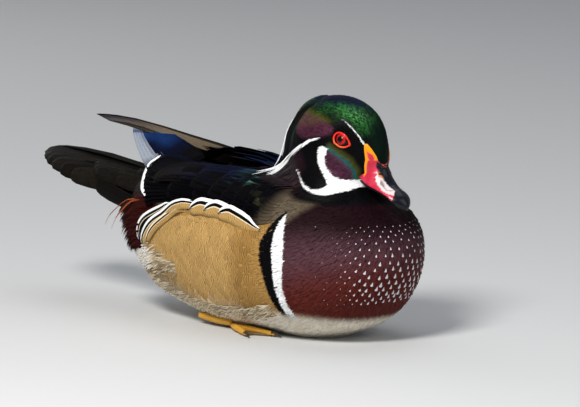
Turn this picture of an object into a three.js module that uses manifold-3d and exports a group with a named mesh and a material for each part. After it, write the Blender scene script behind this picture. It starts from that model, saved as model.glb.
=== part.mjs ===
// A wood duck drake at life size, in millimetres, set down on its belly in its swimming pose.
// +X is forward, +Y is the bird's left and +Z is up. The origin is the middle of the belly's flat.
import * as THREE from 'three';
import Module from 'manifold-3d';
import { mergeVertices } from 'three/addons/utils/BufferGeometryUtils.js';

const wasm = await Module();
wasm.setup();

// Driving dimensions of the body, the head and the gaps between pieces.
const GAP = 0.4;
const BODY_FRONT = 104;
const BODY_LENGTH = 254;
const BODY_HALF_WIDTH = 60;
const BACK_HEIGHT = 107.5;
const BREAST_BACK = 40;
const HEAD_FRONT = 84.5;
const HEAD_LENGTH = 81;
const HEAD_HALF_WIDTH = 23;
const CROWN_HEIGHT = 167;
const CHIN_HEIGHT = 97;
const TAIL_LENGTH = 104;
const EYE_RADIUS = 7.2;
const VANE_THICK = 0.55;
const LOCK_THICK = 0.75;
const TOLERANCE = 0.12;
const MERGE = 0.005;

const { clamp, degToRad, lerp, smoothstep } = THREE.MathUtils;
const point = (x, y, z) => new THREE.Vector3(x, y, z);

// Frames of a hull: place along the length, half width, top, bottom and height of the widest line,
// all as shares of the driving dimensions.
const BODY_FRAMES = [
  [0.0, 0.0, 0.614, 0.614, 0.614],
  [0.012, 0.25, 0.716, 0.493, 0.6],
  [0.028, 0.375, 0.772, 0.391, 0.595],
  [0.063, 0.575, 0.847, 0.251, 0.581],
  [0.118, 0.75, 0.921, 0.121, 0.567],
  [0.193, 0.883, 0.972, 0.037, 0.553],
  [0.291, 0.975, 1.0, -0.014, 0.54],
  [0.429, 1.0, 1.0, -0.014, 0.521],
  [0.587, 0.95, 0.986, -0.014, 0.53],
  [0.724, 0.833, 0.967, 0.037, 0.558],
  [0.835, 0.715, 0.94, 0.105, 0.545],
  [0.913, 0.59, 0.912, 0.235, 0.575],
  [0.969, 0.39, 0.865, 0.42, 0.65],
  [1.0, 0.0, 0.7, 0.7, 0.7],
];
const HEAD_FRAMES = [
  [0.0, 0.0, 0.514, 0.514, 0.514],
  [0.018, 0.2, 0.657, 0.371, 0.486],
  [0.065, 0.36, 0.779, 0.243, 0.443],
  [0.155, 0.56, 0.886, 0.129, 0.4],
  [0.3, 0.8, 0.964, 0.043, 0.371],
  [0.479, 0.978, 1.0, 0.0, 0.343],
  [0.669, 1.0, 0.981, 0.0, 0.343],
  [0.834, 0.87, 0.895, 0.043, 0.386],
  [0.941, 0.609, 0.729, 0.129, 0.429],
  [1.0, 0.0, 0.443, 0.443, 0.443],
];

// A smooth row of numbers at place t, from 0 at the first row to 1 at the last.
function rowAt(rows, t) {
  const place = clamp(t, 0, 1) * (rows.length - 1);
  const start = Math.min(Math.floor(place), rows.length - 2);
  const f = place - start;
  const near = (k) => rows[clamp(start + k, 0, rows.length - 1)];
  return near(0).map((value, k) => {
    const [a, b, c, d] = [near(-1)[k], value, near(1)[k], near(2)[k]];
    const square = 2 * a - 5 * b + 4 * c - d;
    const cube = 3 * b - a - 3 * c + d;
    return b + 0.5 * f * (c - a + f * (square + f * cube));
  });
}

// A smooth curve of points at place t, through points given as [x, y, z].
function along(places, t) {
  return point(...rowAt(places, t));
}

// A closed form across the X axis, whose cross sections are rounded squares of the given power.
class Hull {
  constructor(frames, front, length, halfWidth, low, high, power) {
    const height = (share) => lerp(low, high, share);
    this.power = power;
    this.rows = frames.map(([place, half, top, bottom, widest]) => [
      front - length * place,
      halfWidth * half,
      height(top),
      height(bottom),
      height(widest),
    ]);
  }

  // The place t of the frame that stands at x.
  placeOf(x) {
    let [low, high] = [0, 1];
    for (let i = 0; i < 30; i++) {
      const middle = (low + high) / 2;
      if (rowAt(this.rows, middle)[0] > x) low = middle;
      else high = middle;
    }
    return (low + high) / 2;
  }

  // A point on the surface at place t. The girth angle is 0 on the back, a half turn on the belly,
  // and positive on the bird's left.
  onFrame(t, girth) {
    const [x, half, top, bottom, widest] = rowAt(this.rows, t);
    const [up, out] = [Math.cos(girth), Math.sin(girth)];
    const round = (v) => Math.sign(v) * Math.abs(v) ** (2 / this.power);
    const rise = up > 0 ? top - widest : widest - bottom;
    return point(x, half * round(out), widest + rise * round(up));
  }

  // A point at x, lifted off the surface by lift, along its normal.
  at(x, girth, lift = 0) {
    const t = this.placeOf(x);
    const here = this.onFrame(t, girth);
    const step = 0.004;
    const ahead = this.onFrame(Math.max(t - step, 0), girth).sub(this.onFrame(Math.min(t + step, 1), girth));
    const around = this.onFrame(t, girth + step).sub(this.onFrame(t, girth - step));
    return here.addScaledVector(ahead.cross(around).normalize(), lift);
  }

  // The girth angle on the left side at x and height z.
  girthAt(x, z) {
    const [, , top, bottom, widest] = rowAt(this.rows, this.placeOf(x));
    const share = z > widest ? (z - widest) / (top - widest) : (z - widest) / (widest - bottom);
    return Math.acos(Math.sign(share) * Math.min(1, Math.abs(share)) ** (this.power / 2));
  }

  solid(around, steps) {
    const count = (this.rows.length - 1) * steps;
    const rings = Array.from({ length: count - 1 }, (_, i) =>
      Array.from({ length: around }, (_, k) => this.onFrame((i + 1) / count, (2 * Math.PI * k) / around)),
    );
    return skinOver(rings, this.onFrame(0, 0), this.onFrame(1, 0));
  }
}

// A solid from places and triangles, turned to face outwards.
function solidOf(places, faces) {
  const geometry = new THREE.BufferGeometry().setFromPoints(places);
  const vertProperties = new Float32Array(geometry.attributes.position.array);
  const make = (triVerts) => new wasm.Manifold(new wasm.Mesh({ numProp: 3, vertProperties, triVerts }));
  const made = make(new Uint32Array(faces.flat()));
  if (made.volume() > 0) return made;
  return make(new Uint32Array(faces.map(([a, b, c]) => [a, c, b]).flat()));
}

// A copy of a solid whose faces have all moved out by the same distance.
function grown(solid, by = GAP) {
  const mesh = solid.getMesh();
  const place = (i) => point(...mesh.vertProperties.slice(3 * i, 3 * i + 3));
  const places = Array.from({ length: mesh.vertProperties.length / 3 }, (_, i) => place(i));
  const normals = places.map(() => []);
  const faces = [];
  for (let i = 0; i < mesh.triVerts.length; i += 3) {
    const face = Array.from(mesh.triVerts.slice(i, i + 3));
    const [a, b, c] = face.map((k) => places[k]);
    const normal = b.clone().sub(a).cross(c.clone().sub(a)).normalize();
    face.forEach((k) => normals[k].push(normal));
    faces.push(face);
  }
  const moved = places.map((from, k) => {
    const shift = normals[k].reduce((sum, normal) => sum.add(normal), point(0, 0, 0)).setLength(by);
    for (let round = 0; round < 8; round++) {
      for (const normal of normals[k]) shift.addScaledVector(normal, Math.max(0, by - shift.dot(normal)));
    }
    return from.clone().add(shift.clampLength(0, 4 * by));
  });
  return solidOf(moved, faces);
}

// A closed skin over rings of points, drawn together to one point at each end.
function skinOver(rings, start, end) {
  const around = rings[0].length;
  const places = [start, ...rings.flat(), end];
  const faces = [];
  for (let k = 0; k < around; k++) {
    const next = (k + 1) % around;
    faces.push([0, 1 + next, 1 + k]);
    for (let r = 0; r + 1 < rings.length; r++) {
      const [a, b] = [1 + r * around, 1 + (r + 1) * around];
      faces.push([a + k, a + next, b + next], [a + k, b + next, b + k]);
    }
    const last = 1 + (rings.length - 1) * around;
    faces.push([last + k, last + next, places.length - 1]);
  }
  return solidOf(places, faces);
}

// A slab between two grids of points of the same size, split alike on both faces.
function slab(upper, lower) {
  const [rows, columns] = [upper.length, upper[0].length];
  const places = [...upper.flat(), ...lower.flat()];
  const top = (i, j) => i * columns + j;
  const under = (i, j) => rows * columns + top(i, j);
  const faces = [];
  for (let i = 0; i + 1 < rows; i++) {
    for (let j = 0; j + 1 < columns; j++) {
      faces.push([top(i, j), top(i + 1, j), top(i + 1, j + 1)]);
      faces.push([top(i, j), top(i + 1, j + 1), top(i, j + 1)]);
      faces.push([under(i, j), under(i + 1, j + 1), under(i + 1, j)]);
      faces.push([under(i, j), under(i, j + 1), under(i + 1, j + 1)]);
    }
  }
  const rim = [];
  for (let j = 0; j < columns - 1; j++) rim.push([0, j]);
  for (let i = 0; i < rows - 1; i++) rim.push([i, columns - 1]);
  for (let j = columns - 1; j > 0; j--) rim.push([rows - 1, j]);
  for (let i = rows - 1; i > 0; i--) rim.push([i, 0]);
  rim.forEach(([i, j], k) => {
    const [ni, nj] = rim[(k + 1) % rim.length];
    faces.push([top(i, j), top(ni, nj), under(ni, nj)], [top(i, j), under(ni, nj), under(i, j)]);
  });
  return solidOf(places, faces);
}

// A flat or round spindle along a line of points. Each ring is [half width, half thickness]. Its room is
// the same spindle made a little larger all round, which its neighbours are cut clear of.
function spindle(line, sizes, faceUp, sides = 4) {
  const made = spindleOf(line, sizes, faceUp, sides, 0);
  made.room = spindleOf(line, sizes, faceUp, sides, GAP);
  return made;
}
function spindleOf(line, sizes, faceUp, sides, by) {
  const count = line.length;
  const edge = sides === 4 ? 3 * by : 1.2 * by;
  const rings = [];
  for (let i = 1; i < count - 1; i++) {
    const ahead = line[i + 1].clone().sub(line[i - 1]).normalize();
    const up = Array.isArray(faceUp) ? faceUp[i] : faceUp;
    const across = new THREE.Vector3().crossVectors(up, ahead).normalize();
    const over = new THREE.Vector3().crossVectors(ahead, across);
    const [wide, thick] = sizes[i];
    const ring = Array.from({ length: sides }, (_, k) => {
      const turn = (2 * Math.PI * k) / sides;
      const place = line[i].clone().addScaledVector(across, (wide + edge) * Math.cos(turn));
      return place.addScaledVector(over, (thick + 1.25 * by) * Math.sin(turn));
    });
    rings.push(ring);
  }
  const end = (last, before) => last.clone().addScaledVector(last.clone().sub(before).normalize(), 3 * by);
  return skinOver(rings, end(line[0], line[1]), end(line[count - 1], line[count - 2]));
}

// A vane's rings: the place along it, and the half width there as a share of its widest.
const VANE_RINGS = [
  [0, 0],
  [0.2, 0.8],
  [0.6, 1],
  [0.93, 0.6],
  [1, 0],
];

// A seeded draw between -size and size, which makes like feathers differ a little.
let seed = 20;
function vary(size) {
  seed = (seed * 1103515245 + 12345) % 2147483648;
  return size * ((2 * seed) / 2147483648 - 1);
}

// A ball, squashed along the three axes.
function ball(centre, radii, around = 14) {
  const shape = new THREE.SphereGeometry(1, around, around / 2);
  shape.scale(...radii).translate(centre.x, centre.y, centre.z);
  return fromGeometry(shape);
}

// A solid from a three.js geometry whose seams are closed by place.
function fromGeometry(geometry) {
  const position = geometry.attributes.position;
  const index = geometry.index.array;
  const known = new Map();
  const places = [];
  const slot = Array.from({ length: position.count }, (_, i) => {
    const place = point(position.getX(i), position.getY(i), position.getZ(i));
    const key = place.toArray().map((v) => v.toFixed(3)).join();
    if (!known.has(key)) {
      known.set(key, places.length);
      places.push(place);
    }
    return known.get(key);
  });
  const faces = [];
  for (let i = 0; i < index.length; i += 3) {
    const [a, b, c] = [slot[index[i]], slot[index[i + 1]], slot[index[i + 2]]];
    if (a !== b && b !== c && a !== c) faces.push([a, b, c]);
  }
  return solidOf(places, faces);
}

const joined = (solids) => wasm.Manifold.union(solids);

// The largest closed surface of a solid, without scraps or sealed hollows.
function largest(solid) {
  const pieces = solid.decompose();
  return pieces.reduce((best, next) => (next.volume() > best.volume() ? next : best));
}

// The same solid with vertices that lie closer than MERGE made one, so that no sliver is left.
function settled(solid) {
  const mesh = solid.getMesh();
  const loose = new THREE.BufferGeometry();
  loose.setAttribute('position', new THREE.BufferAttribute(new Float32Array(mesh.vertProperties), 3));
  loose.setIndex(new THREE.BufferAttribute(new Uint32Array(mesh.triVerts), 1));
  return largest(fromGeometry(mergeVertices(loose, MERGE)));
}

// A node's material, from its colour, roughness and metalness.
function finish(color, roughness, metalness = 0) {
  return new THREE.MeshStandardMaterial({ color, roughness, metalness });
}

const bird = new THREE.Group();

// Adds a solid to the bird as a named mesh.
function addNode(name, solid, material) {
  const mesh = settled(largest(solid).simplify(TOLERANCE)).getMesh();
  const geometry = new THREE.BufferGeometry();
  geometry.setAttribute('position', new THREE.BufferAttribute(new Float32Array(mesh.vertProperties), 3));
  geometry.setIndex(new THREE.BufferAttribute(new Uint32Array(mesh.triVerts), 1));
  geometry.computeVertexNormals();
  const node = new THREE.Mesh(geometry, material);
  node.name = name;
  bird.add(node);
}

const body = new Hull(BODY_FRAMES, BODY_FRONT, BODY_LENGTH, BODY_HALF_WIDTH, 0, BACK_HEIGHT, 2.3);
const head = new Hull(HEAD_FRAMES, HEAD_FRONT, HEAD_LENGTH, HEAD_HALF_WIDTH, CHIN_HEIGHT, CROWN_HEIGHT, 2.1);

// The neck, drawn down between the shoulders: rings at height z of centre x and half sizes in x and y.
const NECK_RINGS = [
  [90, 38, 42, 37],
  [97, 38, 41, 35],
  [103, 37, 38, 31],
  [110, 36, 35.5, 27.5],
  [118, 35, 33, 25.5],
  [126, 34, 30, 23],
  [134, 34, 24, 18],
];
function neckForm() {
  const steps = 5;
  const around = 24;
  const rings = Array.from({ length: steps + 1 }, (_, i) => {
    const [z, x, long, wide] = rowAt(NECK_RINGS, i / steps);
    return Array.from({ length: around }, (_, k) => {
      const turn = (2 * Math.PI * k) / around;
      return point(x + long * Math.cos(turn), wide * Math.sin(turn), z);
    });
  });
  const [low, high] = [NECK_RINGS[0], NECK_RINGS.at(-1)];
  return skinOver(rings, point(low[1], 0, low[0] - 2), point(high[1], 0, high[0] + 2));
}

// The cut between head and neck runs from the chin up to the nape.
const CHIN = [68, 103];
const NAPE = [-2, 116];
function aboveNeckCut(solid, side) {
  const normal = point(NAPE[1] - CHIN[1], 0, CHIN[0] - NAPE[0]).normalize();
  const offset = normal.x * CHIN[0] + normal.z * CHIN[1];
  const facing = normal.clone().multiplyScalar(side);
  return solid.trimByPlane(facing.toArray(), side * offset + GAP / 2);
}

// Eyes, set in sockets with a raised lid ring round each.
const EYE = point(57.5, 11.4, 139);
const EYE_LOOK = point(0.2, 1, 0.03).normalize();
const LID_RADIUS = 5.3;
const LID_THICK = 1.15;
const sided = (place, side) => point(place.x, place.y * side, place.z);
const eyeball = (side) => ball(sided(EYE, side), Array(3).fill(EYE_RADIUS));
function lidRing(side) {
  const look = sided(EYE_LOOK, side);
  const ring = new THREE.TorusGeometry(LID_RADIUS, LID_THICK, 5, 16);
  const turn = new THREE.Quaternion().setFromUnitVectors(point(0, 0, 1), look);
  const centre = sided(EYE, side).addScaledVector(look, 6.1);
  ring.scale(1.06, 0.96, 1).applyQuaternion(turn).translate(centre.x, centre.y, centre.z);
  return fromGeometry(ring);
}

// The bill's frames: ridge x and z, cutting edge x and z, and half width at the edge.
const BILL_FRAMES = [
  [78, 129, 66, 118.5, 11.4],
  [84, 123, 73, 113.8, 11.2],
  [88, 116, 79, 110.6, 10.7],
  [92.3, 110.8, 86, 106.6, 10],
  [97.5, 106.6, 92.5, 102.6, 9.5],
  [102, 103.2, 98, 99.2, 8.8],
  [105, 99.6, 101.6, 96.8, 6.6],
  [106.2, 96.6, 103.4, 95, 3.6],
];
const BILL_TIP = point(105.4, 0, 93.4);
const BILL_DOWN = point(-0.72, 0, -0.7);

// The upper half of the bill: rings over the ridge and back under the palate.
function upperBill() {
  const steps = 8;
  const around = 16;
  const rings = Array.from({ length: steps + 1 }, (_, i) => {
    const [ridgeX, ridgeZ, edgeX, edgeZ, half] = rowAt(BILL_FRAMES, i / steps);
    return Array.from({ length: around }, (_, k) => {
      const turn = (2 * Math.PI * k) / around;
      const up = Math.cos(turn);
      const over = up > 0 ? up ** 0.9 : 0.12 * up;
      return point(lerp(edgeX, ridgeX, over), half * Math.sin(turn), lerp(edgeZ, ridgeZ, over));
    });
  });
  const [ridgeX, ridgeZ, edgeX, edgeZ] = BILL_FRAMES[0];
  return skinOver(rings, point((ridgeX + edgeX) / 2 - 3, 0, (ridgeZ + edgeZ) / 2 + 3), BILL_TIP);
}

// The lower half lies along the cutting edge, a little narrower, and ends short of the nail.
function lowerBill() {
  const steps = 7;
  const around = 12;
  const depth = 4.2;
  const rings = Array.from({ length: steps + 1 }, (_, i) => {
    const t = i / steps;
    const [, , edgeX, edgeZ, half] = rowAt(BILL_FRAMES, 0.9 * t);
    const drop = depth * (1 - 0.55 * t);
    const inset = 0.7 + 0.4 * t;
    return Array.from({ length: around }, (_, k) => {
      const turn = (2 * Math.PI * k) / around;
      const down = drop * (0.45 - 0.55 * Math.cos(turn));
      return point(edgeX, (half - inset) * Math.sin(turn), edgeZ).addScaledVector(BILL_DOWN, down);
    });
  });
  const [, , rootX, rootZ] = BILL_FRAMES[0];
  const [, , tipX, tipZ] = rowAt(BILL_FRAMES, 0.93);
  const root = point(rootX - 3, 0, rootZ + 1).addScaledVector(BILL_DOWN, 2);
  return skinOver(rings, root, point(tipX, 0, tipZ).addScaledVector(BILL_DOWN, 1.3));
}

// The lobe of bare skin that runs up each side of the forehead from the bill.
const LOBE_TOP = [73.6, 137.5];
const LOBE_GAPE = [70.5, 114.5];
const LOBE_RIDGE = [81.6, 126];
function billLobe(side) {
  const steps = 6;
  const grid = (lift) =>
    Array.from({ length: steps + 1 }, (_, i) =>
      Array.from({ length: 4 }, (_, j) => {
        const rise = (0.97 * i) / steps;
        const forward = j / 3;
        const bow = 1.6 * Math.sin(Math.PI * rise) * (1 - forward);
        const rearX = lerp(LOBE_GAPE[0], LOBE_TOP[0], rise) + bow;
        const x = lerp(rearX, lerp(LOBE_RIDGE[0], LOBE_TOP[0], rise), forward);
        const z = lerp(lerp(LOBE_GAPE[1], LOBE_RIDGE[1], forward), LOBE_TOP[1], rise);
        return sided(head.at(x, head.girthAt(x, z), lift), side);
      }),
    );
  return slab(grid(0.7), grid(-5));
}

// Nostrils open through the sides of the upper bill.
const NOSTRIL = point(85.8, 5.2, 116.6);
const nostril = (side) => ball(sided(NOSTRIL, side), [2.2, 2.4, 1], 8);

// A pad that follows the body's side between an upper and a lower edge, each a function of the place t
// from its front to its rear. The upper edge gives the distance from the middle, the lower one a height.
function pad(side, [front, back], upper, lower, lift, depth, steps, columns) {
  const grid = (sign) =>
    Array.from({ length: steps + 1 }, (_, i) => {
      const t = i / steps;
      const x = lerp(front, back, t);
      const [high, low] = [upper(t, x), body.girthAt(x, lower(t))];
      return Array.from({ length: columns + 1 }, (_, j) => {
        const q = j / columns;
        return sided(body.at(x, lerp(high, low, q), sign > 0 ? lift(t, q) : -depth), side);
      });
    });
  return slab(grid(1), grid(-1));
}

// The girth angle on the back at x, at a distance from the middle.
function girthAcross(x, distance) {
  const [, half] = rowAt(body.rows, body.placeOf(x));
  return Math.asin(Math.min(1, distance / half) ** (body.power / 2));
}

// Flanks: pads of long feathers over the lower edge of the wings.
const FLANK_SPAN = [37, -126];
const FLANK_UPPER = [[84], [84.5], [88], [90.5], [90], [88], [83], [72], [50]];
const FLANK_LOWER = [[24], [17], [14], [13], [13], [15], [20], [27], [36]];
function flankPad(side) {
  const upper = (t, x) => body.girthAt(x, rowAt(FLANK_UPPER, t)[0]);
  const lower = (t) => rowAt(FLANK_LOWER, t)[0];
  const lift = (t, q) => 1.9 * Math.min(1, 0.35 + 2.5 * t, 0.3 + 5 * (1 - t), 0.1 + 7 * (1 - q));
  return pad(side, FLANK_SPAN, upper, lower, lift, 3, 12, 4);
}

// A vane that lies along the body: from and to are x and a measure that becomes a girth angle there, which
// is a height unless another way is given, and lift rises from its root to its tip.
const byHeight = (x, z) => body.girthAt(x, z);
function lyingVane(side, from, to, wide, [liftFrom, liftTo], bow = 0, toGirth = byHeight) {
  const line = [];
  const up = [];
  const sizes = [];
  for (const [t, share] of VANE_RINGS) {
    const x = lerp(from[0], to[0], t);
    const measure = lerp(from[1], to[1], t) + bow * Math.sin(Math.PI * t);
    const girth = toGirth(x, measure);
    const lift = lerp(liftFrom, liftTo, t);
    line.push(sided(body.at(x, girth, lift), side));
    up.push(sided(body.at(x, girth, lift + 1), side).sub(line.at(-1)));
    sizes.push([wide * share, VANE_THICK * (1.3 - 0.6 * t)]);
  }
  return spindle(line, sizes, up);
}

// The long feathers of the flank's upper edge, curled up over the wing, and the soft ones at its rear.
const FLANK_ROW = 7;
const FLANK_TUFTS = 3;
function flankVanes(side) {
  const upper = Array.from({ length: FLANK_ROW }, (_, k) => {
    const x = lerp(24, -92, k / (FLANK_ROW - 1));
    const tip = x - 37 + vary(2);
    const t = (FLANK_SPAN[0] - tip) / (FLANK_SPAN[0] - FLANK_SPAN[1]);
    const rim = rowAt(FLANK_UPPER, t)[0];
    return lyingVane(side, [x, rim - 15], [tip, rim - 2], 6.4, [0.7, 3.6], -2.5);
  });
  const lower = Array.from({ length: FLANK_TUFTS }, (_, k) => {
    const z = lerp(54, 30, k / (FLANK_TUFTS - 1));
    return lyingVane(side, [-94 + 5 * k, z + 2], [-129 + 8 * k + vary(2), z - 4], 6.5, [0.2, 2.6], 1);
  });
  return [...upper, ...lower];
}

// Wings: a folded pad along the back with the long flight feathers reaching over the tail.
const WING_SPAN = [31, -108];
const WING_UPPER = [[24], [16], [13], [12], [12], [13], [16], [20], [27]];
const WING_LOWER = [[85], [80], [77], [76], [76], [76], [77], [80], [86]];
const WING_LIFT = [[1.5], [2.4], [3], [3.6], [4.4], [5.4], [6.4], [6.6], [4.5]];
function wingPad(side) {
  const upper = (t, x) => girthAcross(x, rowAt(WING_UPPER, t)[0]);
  const lower = (t) => rowAt(WING_LOWER, t)[0];
  const lift = (t, q) => rowAt(WING_LIFT, t)[0] * Math.min(1, 0.35 + 3.5 * q, 0.45 + 3 * (1 - q));
  return pad(side, WING_SPAN, upper, lower, lift, 3, 10, 4);
}

// Feathers of the folded wing in tiers: scapulars, tertials and secondaries, each as its count, the
// places of its first and last root and of its first and last tip, half width and lifts. A place is x and
// the share of the way down from the wing's upper edge to its lower one.
const WING_TIERS = [
  [3, [-2, 0.16], [-6, 0.66], [-44, 0.14], [-48, 0.64], 10, [2.6, 6.4]],
  [3, [-32, 0.14], [-36, 0.62], [-84, 0.12], [-78, 0.6], 11, [3.4, 8]],
  [3, [-58, 0.12], [-64, 0.46], [-117, 0.08], [-114, 0.48], 9, [5.4, 8.4]],
  [3, [-62, 0.42], [-72, 0.76], [-117, 0.42], [-109, 0.84], 8.5, [3.4, 6.6]],
];
function wingGirth(x, share) {
  const t = (WING_SPAN[0] - x) / (WING_SPAN[0] - WING_SPAN[1]);
  const high = girthAcross(x, rowAt(WING_UPPER, t)[0]);
  return lerp(high, body.girthAt(x, rowAt(WING_LOWER, t)[0]), share);
}
function wingVanes(side) {
  return WING_TIERS.flatMap(([count, rootIn, rootOut, tipIn, tipOut, wide, lifts]) =>
    Array.from({ length: count }, (_, k) => {
      const q = k / (count - 1);
      const root = rootIn.map((v, i) => lerp(v, rootOut[i], q));
      const tip = tipIn.map((v, i) => lerp(v, tipOut[i], q));
      tip[0] += vary(1.5);
      const low = 1 - 0.5 * (root[1] + tip[1]) / 2;
      return lyingVane(side, root, tip, wide, [lifts[0] * low, lifts[1] * low], 0, wingGirth);
    }),
  );
}

// The folded primaries of each wing as root, tip, and tilt at the root and at the tip.
const LEFT_BLADE = [[-66, 32, 104.5], [-188, -11, 129], 58, 22];
const RIGHT_BLADE = [[-66, 32, 103], [-169, -7, 124.5], 58, 30];
const PRIMARIES = 5;
const PRIMARY_STEP = 4.4;
function primaries([root, tip, rootTilt, tipTilt], side) {
  const from = sided(point(...root), side);
  const to = sided(point(...tip), side);
  const ahead = to.clone().sub(from).normalize();
  return Array.from({ length: PRIMARIES }, (_, k) => {
    const place = k - (PRIMARIES - 1) / 2;
    const length = 1 - 0.06 * (PRIMARIES - 1 - k);
    const line = [];
    const up = [];
    const sizes = [];
    for (const [t, share] of VANE_RINGS) {
      const tilt = degToRad(lerp(rootTilt, tipTilt, t * length));
      const face = point(0, side * Math.sin(tilt), Math.cos(tilt));
      face.addScaledVector(ahead, -face.dot(ahead)).normalize();
      const inward = new THREE.Vector3().crossVectors(ahead, face).multiplyScalar(side).normalize();
      const spread = PRIMARY_STEP * place * lerp(1, 0.75, t) - 3 * t * t;
      const bend = -2.4 * Math.sin(Math.PI * t);
      const here = from.clone().lerp(to, t * length);
      here.addScaledVector(inward, -spread).addScaledVector(face, 1.0 * place + bend);
      line.push(here);
      up.push(face);
      sizes.push([7 * share, VANE_THICK * (1.3 - 0.75 * t)]);
    }
    return spindle(line, sizes, up);
  });
}

// A core under the roots of the primaries ties them to the pad.
function bladeCore([root, tip, rootTilt], side) {
  const from = sided(point(...root), side);
  const to = sided(point(...tip), side);
  const tilt = degToRad(rootTilt);
  const line = Array.from({ length: 7 }, (_, i) => from.clone().lerp(to, -0.08 + 0.075 * i));
  const sizes = [0, 9, 10, 9.5, 8, 6, 0].map((wide) => [wide, 0.24 * wide]);
  return spindle(line, sizes, point(0, side * Math.sin(tilt), Math.cos(tilt)), 6);
}
const wingPieces = (side) => {
  const folded = side > 0 ? LEFT_BLADE : RIGHT_BLADE;
  return [wingPad(side), bladeCore(folded, side), ...wingVanes(side), ...primaries(folded, side)];
};

// The tail: a root with fourteen long feathers laid like a roof, and tiers of coverts over and under it.
const TAIL_RINGS = [
  [-130, 18, 95, 66],
  [-142, 16.5, 95.5, 67],
  [-154, 13.5, 96, 72],
  [-166, 9.5, 96.5, 79],
  [-176, 5.5, 96.5, 87],
];
function tailRoot() {
  const steps = 5;
  const around = 12;
  const rings = Array.from({ length: steps + 1 }, (_, i) => {
    const [x, half, top, bottom] = rowAt(TAIL_RINGS, i / steps);
    return Array.from({ length: around }, (_, k) => {
      const turn = (2 * Math.PI * k) / around;
      return point(x, half * Math.sin(turn), lerp(bottom, top, 0.5 + 0.5 * Math.cos(turn)));
    });
  });
  return skinOver(rings, point(-127, 0, 81), point(-180, 0, 93));
}

// A vane that starts at a root, runs back by yaw and pitch in degrees, and rolls its face out to the side.
function fannedVane(side, [x, y, z], length, yaw, [pitchFrom, pitchTo], roll, wide) {
  const place = point(x, y * side, z);
  const line = [place.clone()];
  const face = point(0, side * Math.sin(degToRad(roll)), Math.cos(degToRad(roll)));
  const sizes = [[0, 0]];
  for (let i = 1; i < VANE_RINGS.length; i++) {
    const [[before], [t, share]] = [VANE_RINGS[i - 1], VANE_RINGS[i]];
    const pitch = degToRad(lerp(pitchFrom, pitchTo, (t + before) / 2));
    const turn = degToRad(yaw);
    const step = point(-Math.cos(turn) * Math.cos(pitch), side * Math.sin(turn), Math.sin(pitch));
    place.addScaledVector(step, length * (t - before));
    line.push(place.clone());
    sizes.push([wide * share, VANE_THICK * (1.5 - 0.8 * t)]);
  }
  return spindle(line, sizes, face);
}
const TAIL_PAIRS = 7;
function tailFeathers(side) {
  return Array.from({ length: TAIL_PAIRS }, (_, k) => {
    const spread = k / (TAIL_PAIRS - 1);
    const root = [-136, 3 + 1.3 * k + (side > 0 ? 0.3 : 0), 92.5 - 2.1 * k];
    const length = (TAIL_LENGTH + 1) * (1 - 0.37 * spread ** 2) + vary(1);
    const pitches = [10 + 2.5 * spread + vary(0.6), -1 + 3 * spread + vary(0.6)];
    return fannedVane(side, root, length, 1.5 + 10 * spread, pitches, 16 + 46 * spread, 9.5 - 1.5 * spread);
  });
}
function tailCoverts(side) {
  const upper = Array.from({ length: 3 }, (_, k) => {
    const root = [-124, 3.5 + 5 * k, 98 - 2 * k];
    return fannedVane(side, root, 58 - 6 * k + vary(2), 1 + 3.6 * k, [6, 3], 14 + 18 * k, 7.5);
  });
  const under = fannedVane(side, [-133, 6.5, 68], 54 + vary(2), 5, [10, 20], 138, 11);
  return [...upper, under];
}

// Loose plumes stand off the sides of the rump.
const PLUMES = 4;
function rumpPlumes(side) {
  return Array.from({ length: PLUMES }, (_, k) => {
    const q = k / (PLUMES - 1);
    const from = body.at(-113 - 3 * q, body.girthAt(-113 - 3 * q, lerp(82, 50, q)), -1.5);
    const to = point(lerp(-153, -135, q) + vary(2), 37 + 1.5 * Math.sin(3 * q), lerp(70, 42, q));
    const line = VANE_RINGS.map(([t]) => {
      return sided(from.clone().lerp(to, t).add(point(0, 3 * Math.sin(Math.PI * t), 0)), side);
    });
    const sizes = VANE_RINGS.map(([t, share]) => [5.4 * share, VANE_THICK * (1.6 - t)]);
    return spindle(line, sizes, point(-0.35, side, 0.1).normalize());
  });
}

// The crest hangs from the back of the crown on to the back. Its rings stand square to its own line:
// x, z, half width and half thickness.
const CREST_RINGS = [
  [28, 161.5, 10, 6],
  [15.5, 153, 13.5, 9],
  [5.2, 138, 13.8, 8.8],
  [0, 123, 12.8, 7.7],
  [-6, 113.5, 11.8, 5.5],
  [-18, 109.5, 11.2, 3.4],
  [-33, 108.6, 10, 2.4],
  [-46, 107.6, 7.5, 1.4],
];
const CREST_CORE_END = 0.5;
const CREST_TIERS = [
  [0.02, 0.5, 5, 74, 5.6],
  [0.24, 0.76, 5, 80, 5.3],
  [0.44, 1.0, 4, 68, 5.4],
];

// A point on the crest at place t down its length. The turn is 0 on its back and positive on its left.
function onCrest(t, turn, lift = 0, slim = 1) {
  const [x, z, wide, thick] = rowAt(CREST_RINGS, t);
  const [before, after] = [rowAt(CREST_RINGS, t - 0.02), rowAt(CREST_RINGS, t + 0.02)];
  const ahead = point(after[0] - before[0], 0, after[1] - before[1]).normalize();
  const back = point(ahead.z, 0, -ahead.x);
  const place = point(x, (wide * slim + lift) * Math.sin(turn), z);
  return place.addScaledVector(back, -(thick * slim + lift) * Math.cos(turn));
}
function crestCore() {
  const steps = 6;
  const around = 14;
  const rings = Array.from({ length: steps + 1 }, (_, i) => {
    const t = (CREST_CORE_END * i) / steps;
    const slim = 0.92 - 0.3 * (i / steps) ** 3;
    return Array.from({ length: around }, (_, k) => onCrest(t, (2 * Math.PI * k) / around, 0, slim));
  });
  const [x, z] = rowAt(CREST_RINGS, CREST_CORE_END + 0.02);
  return skinOver(rings, point(30, 0, 162), point(x, 0, z));
}
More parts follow.
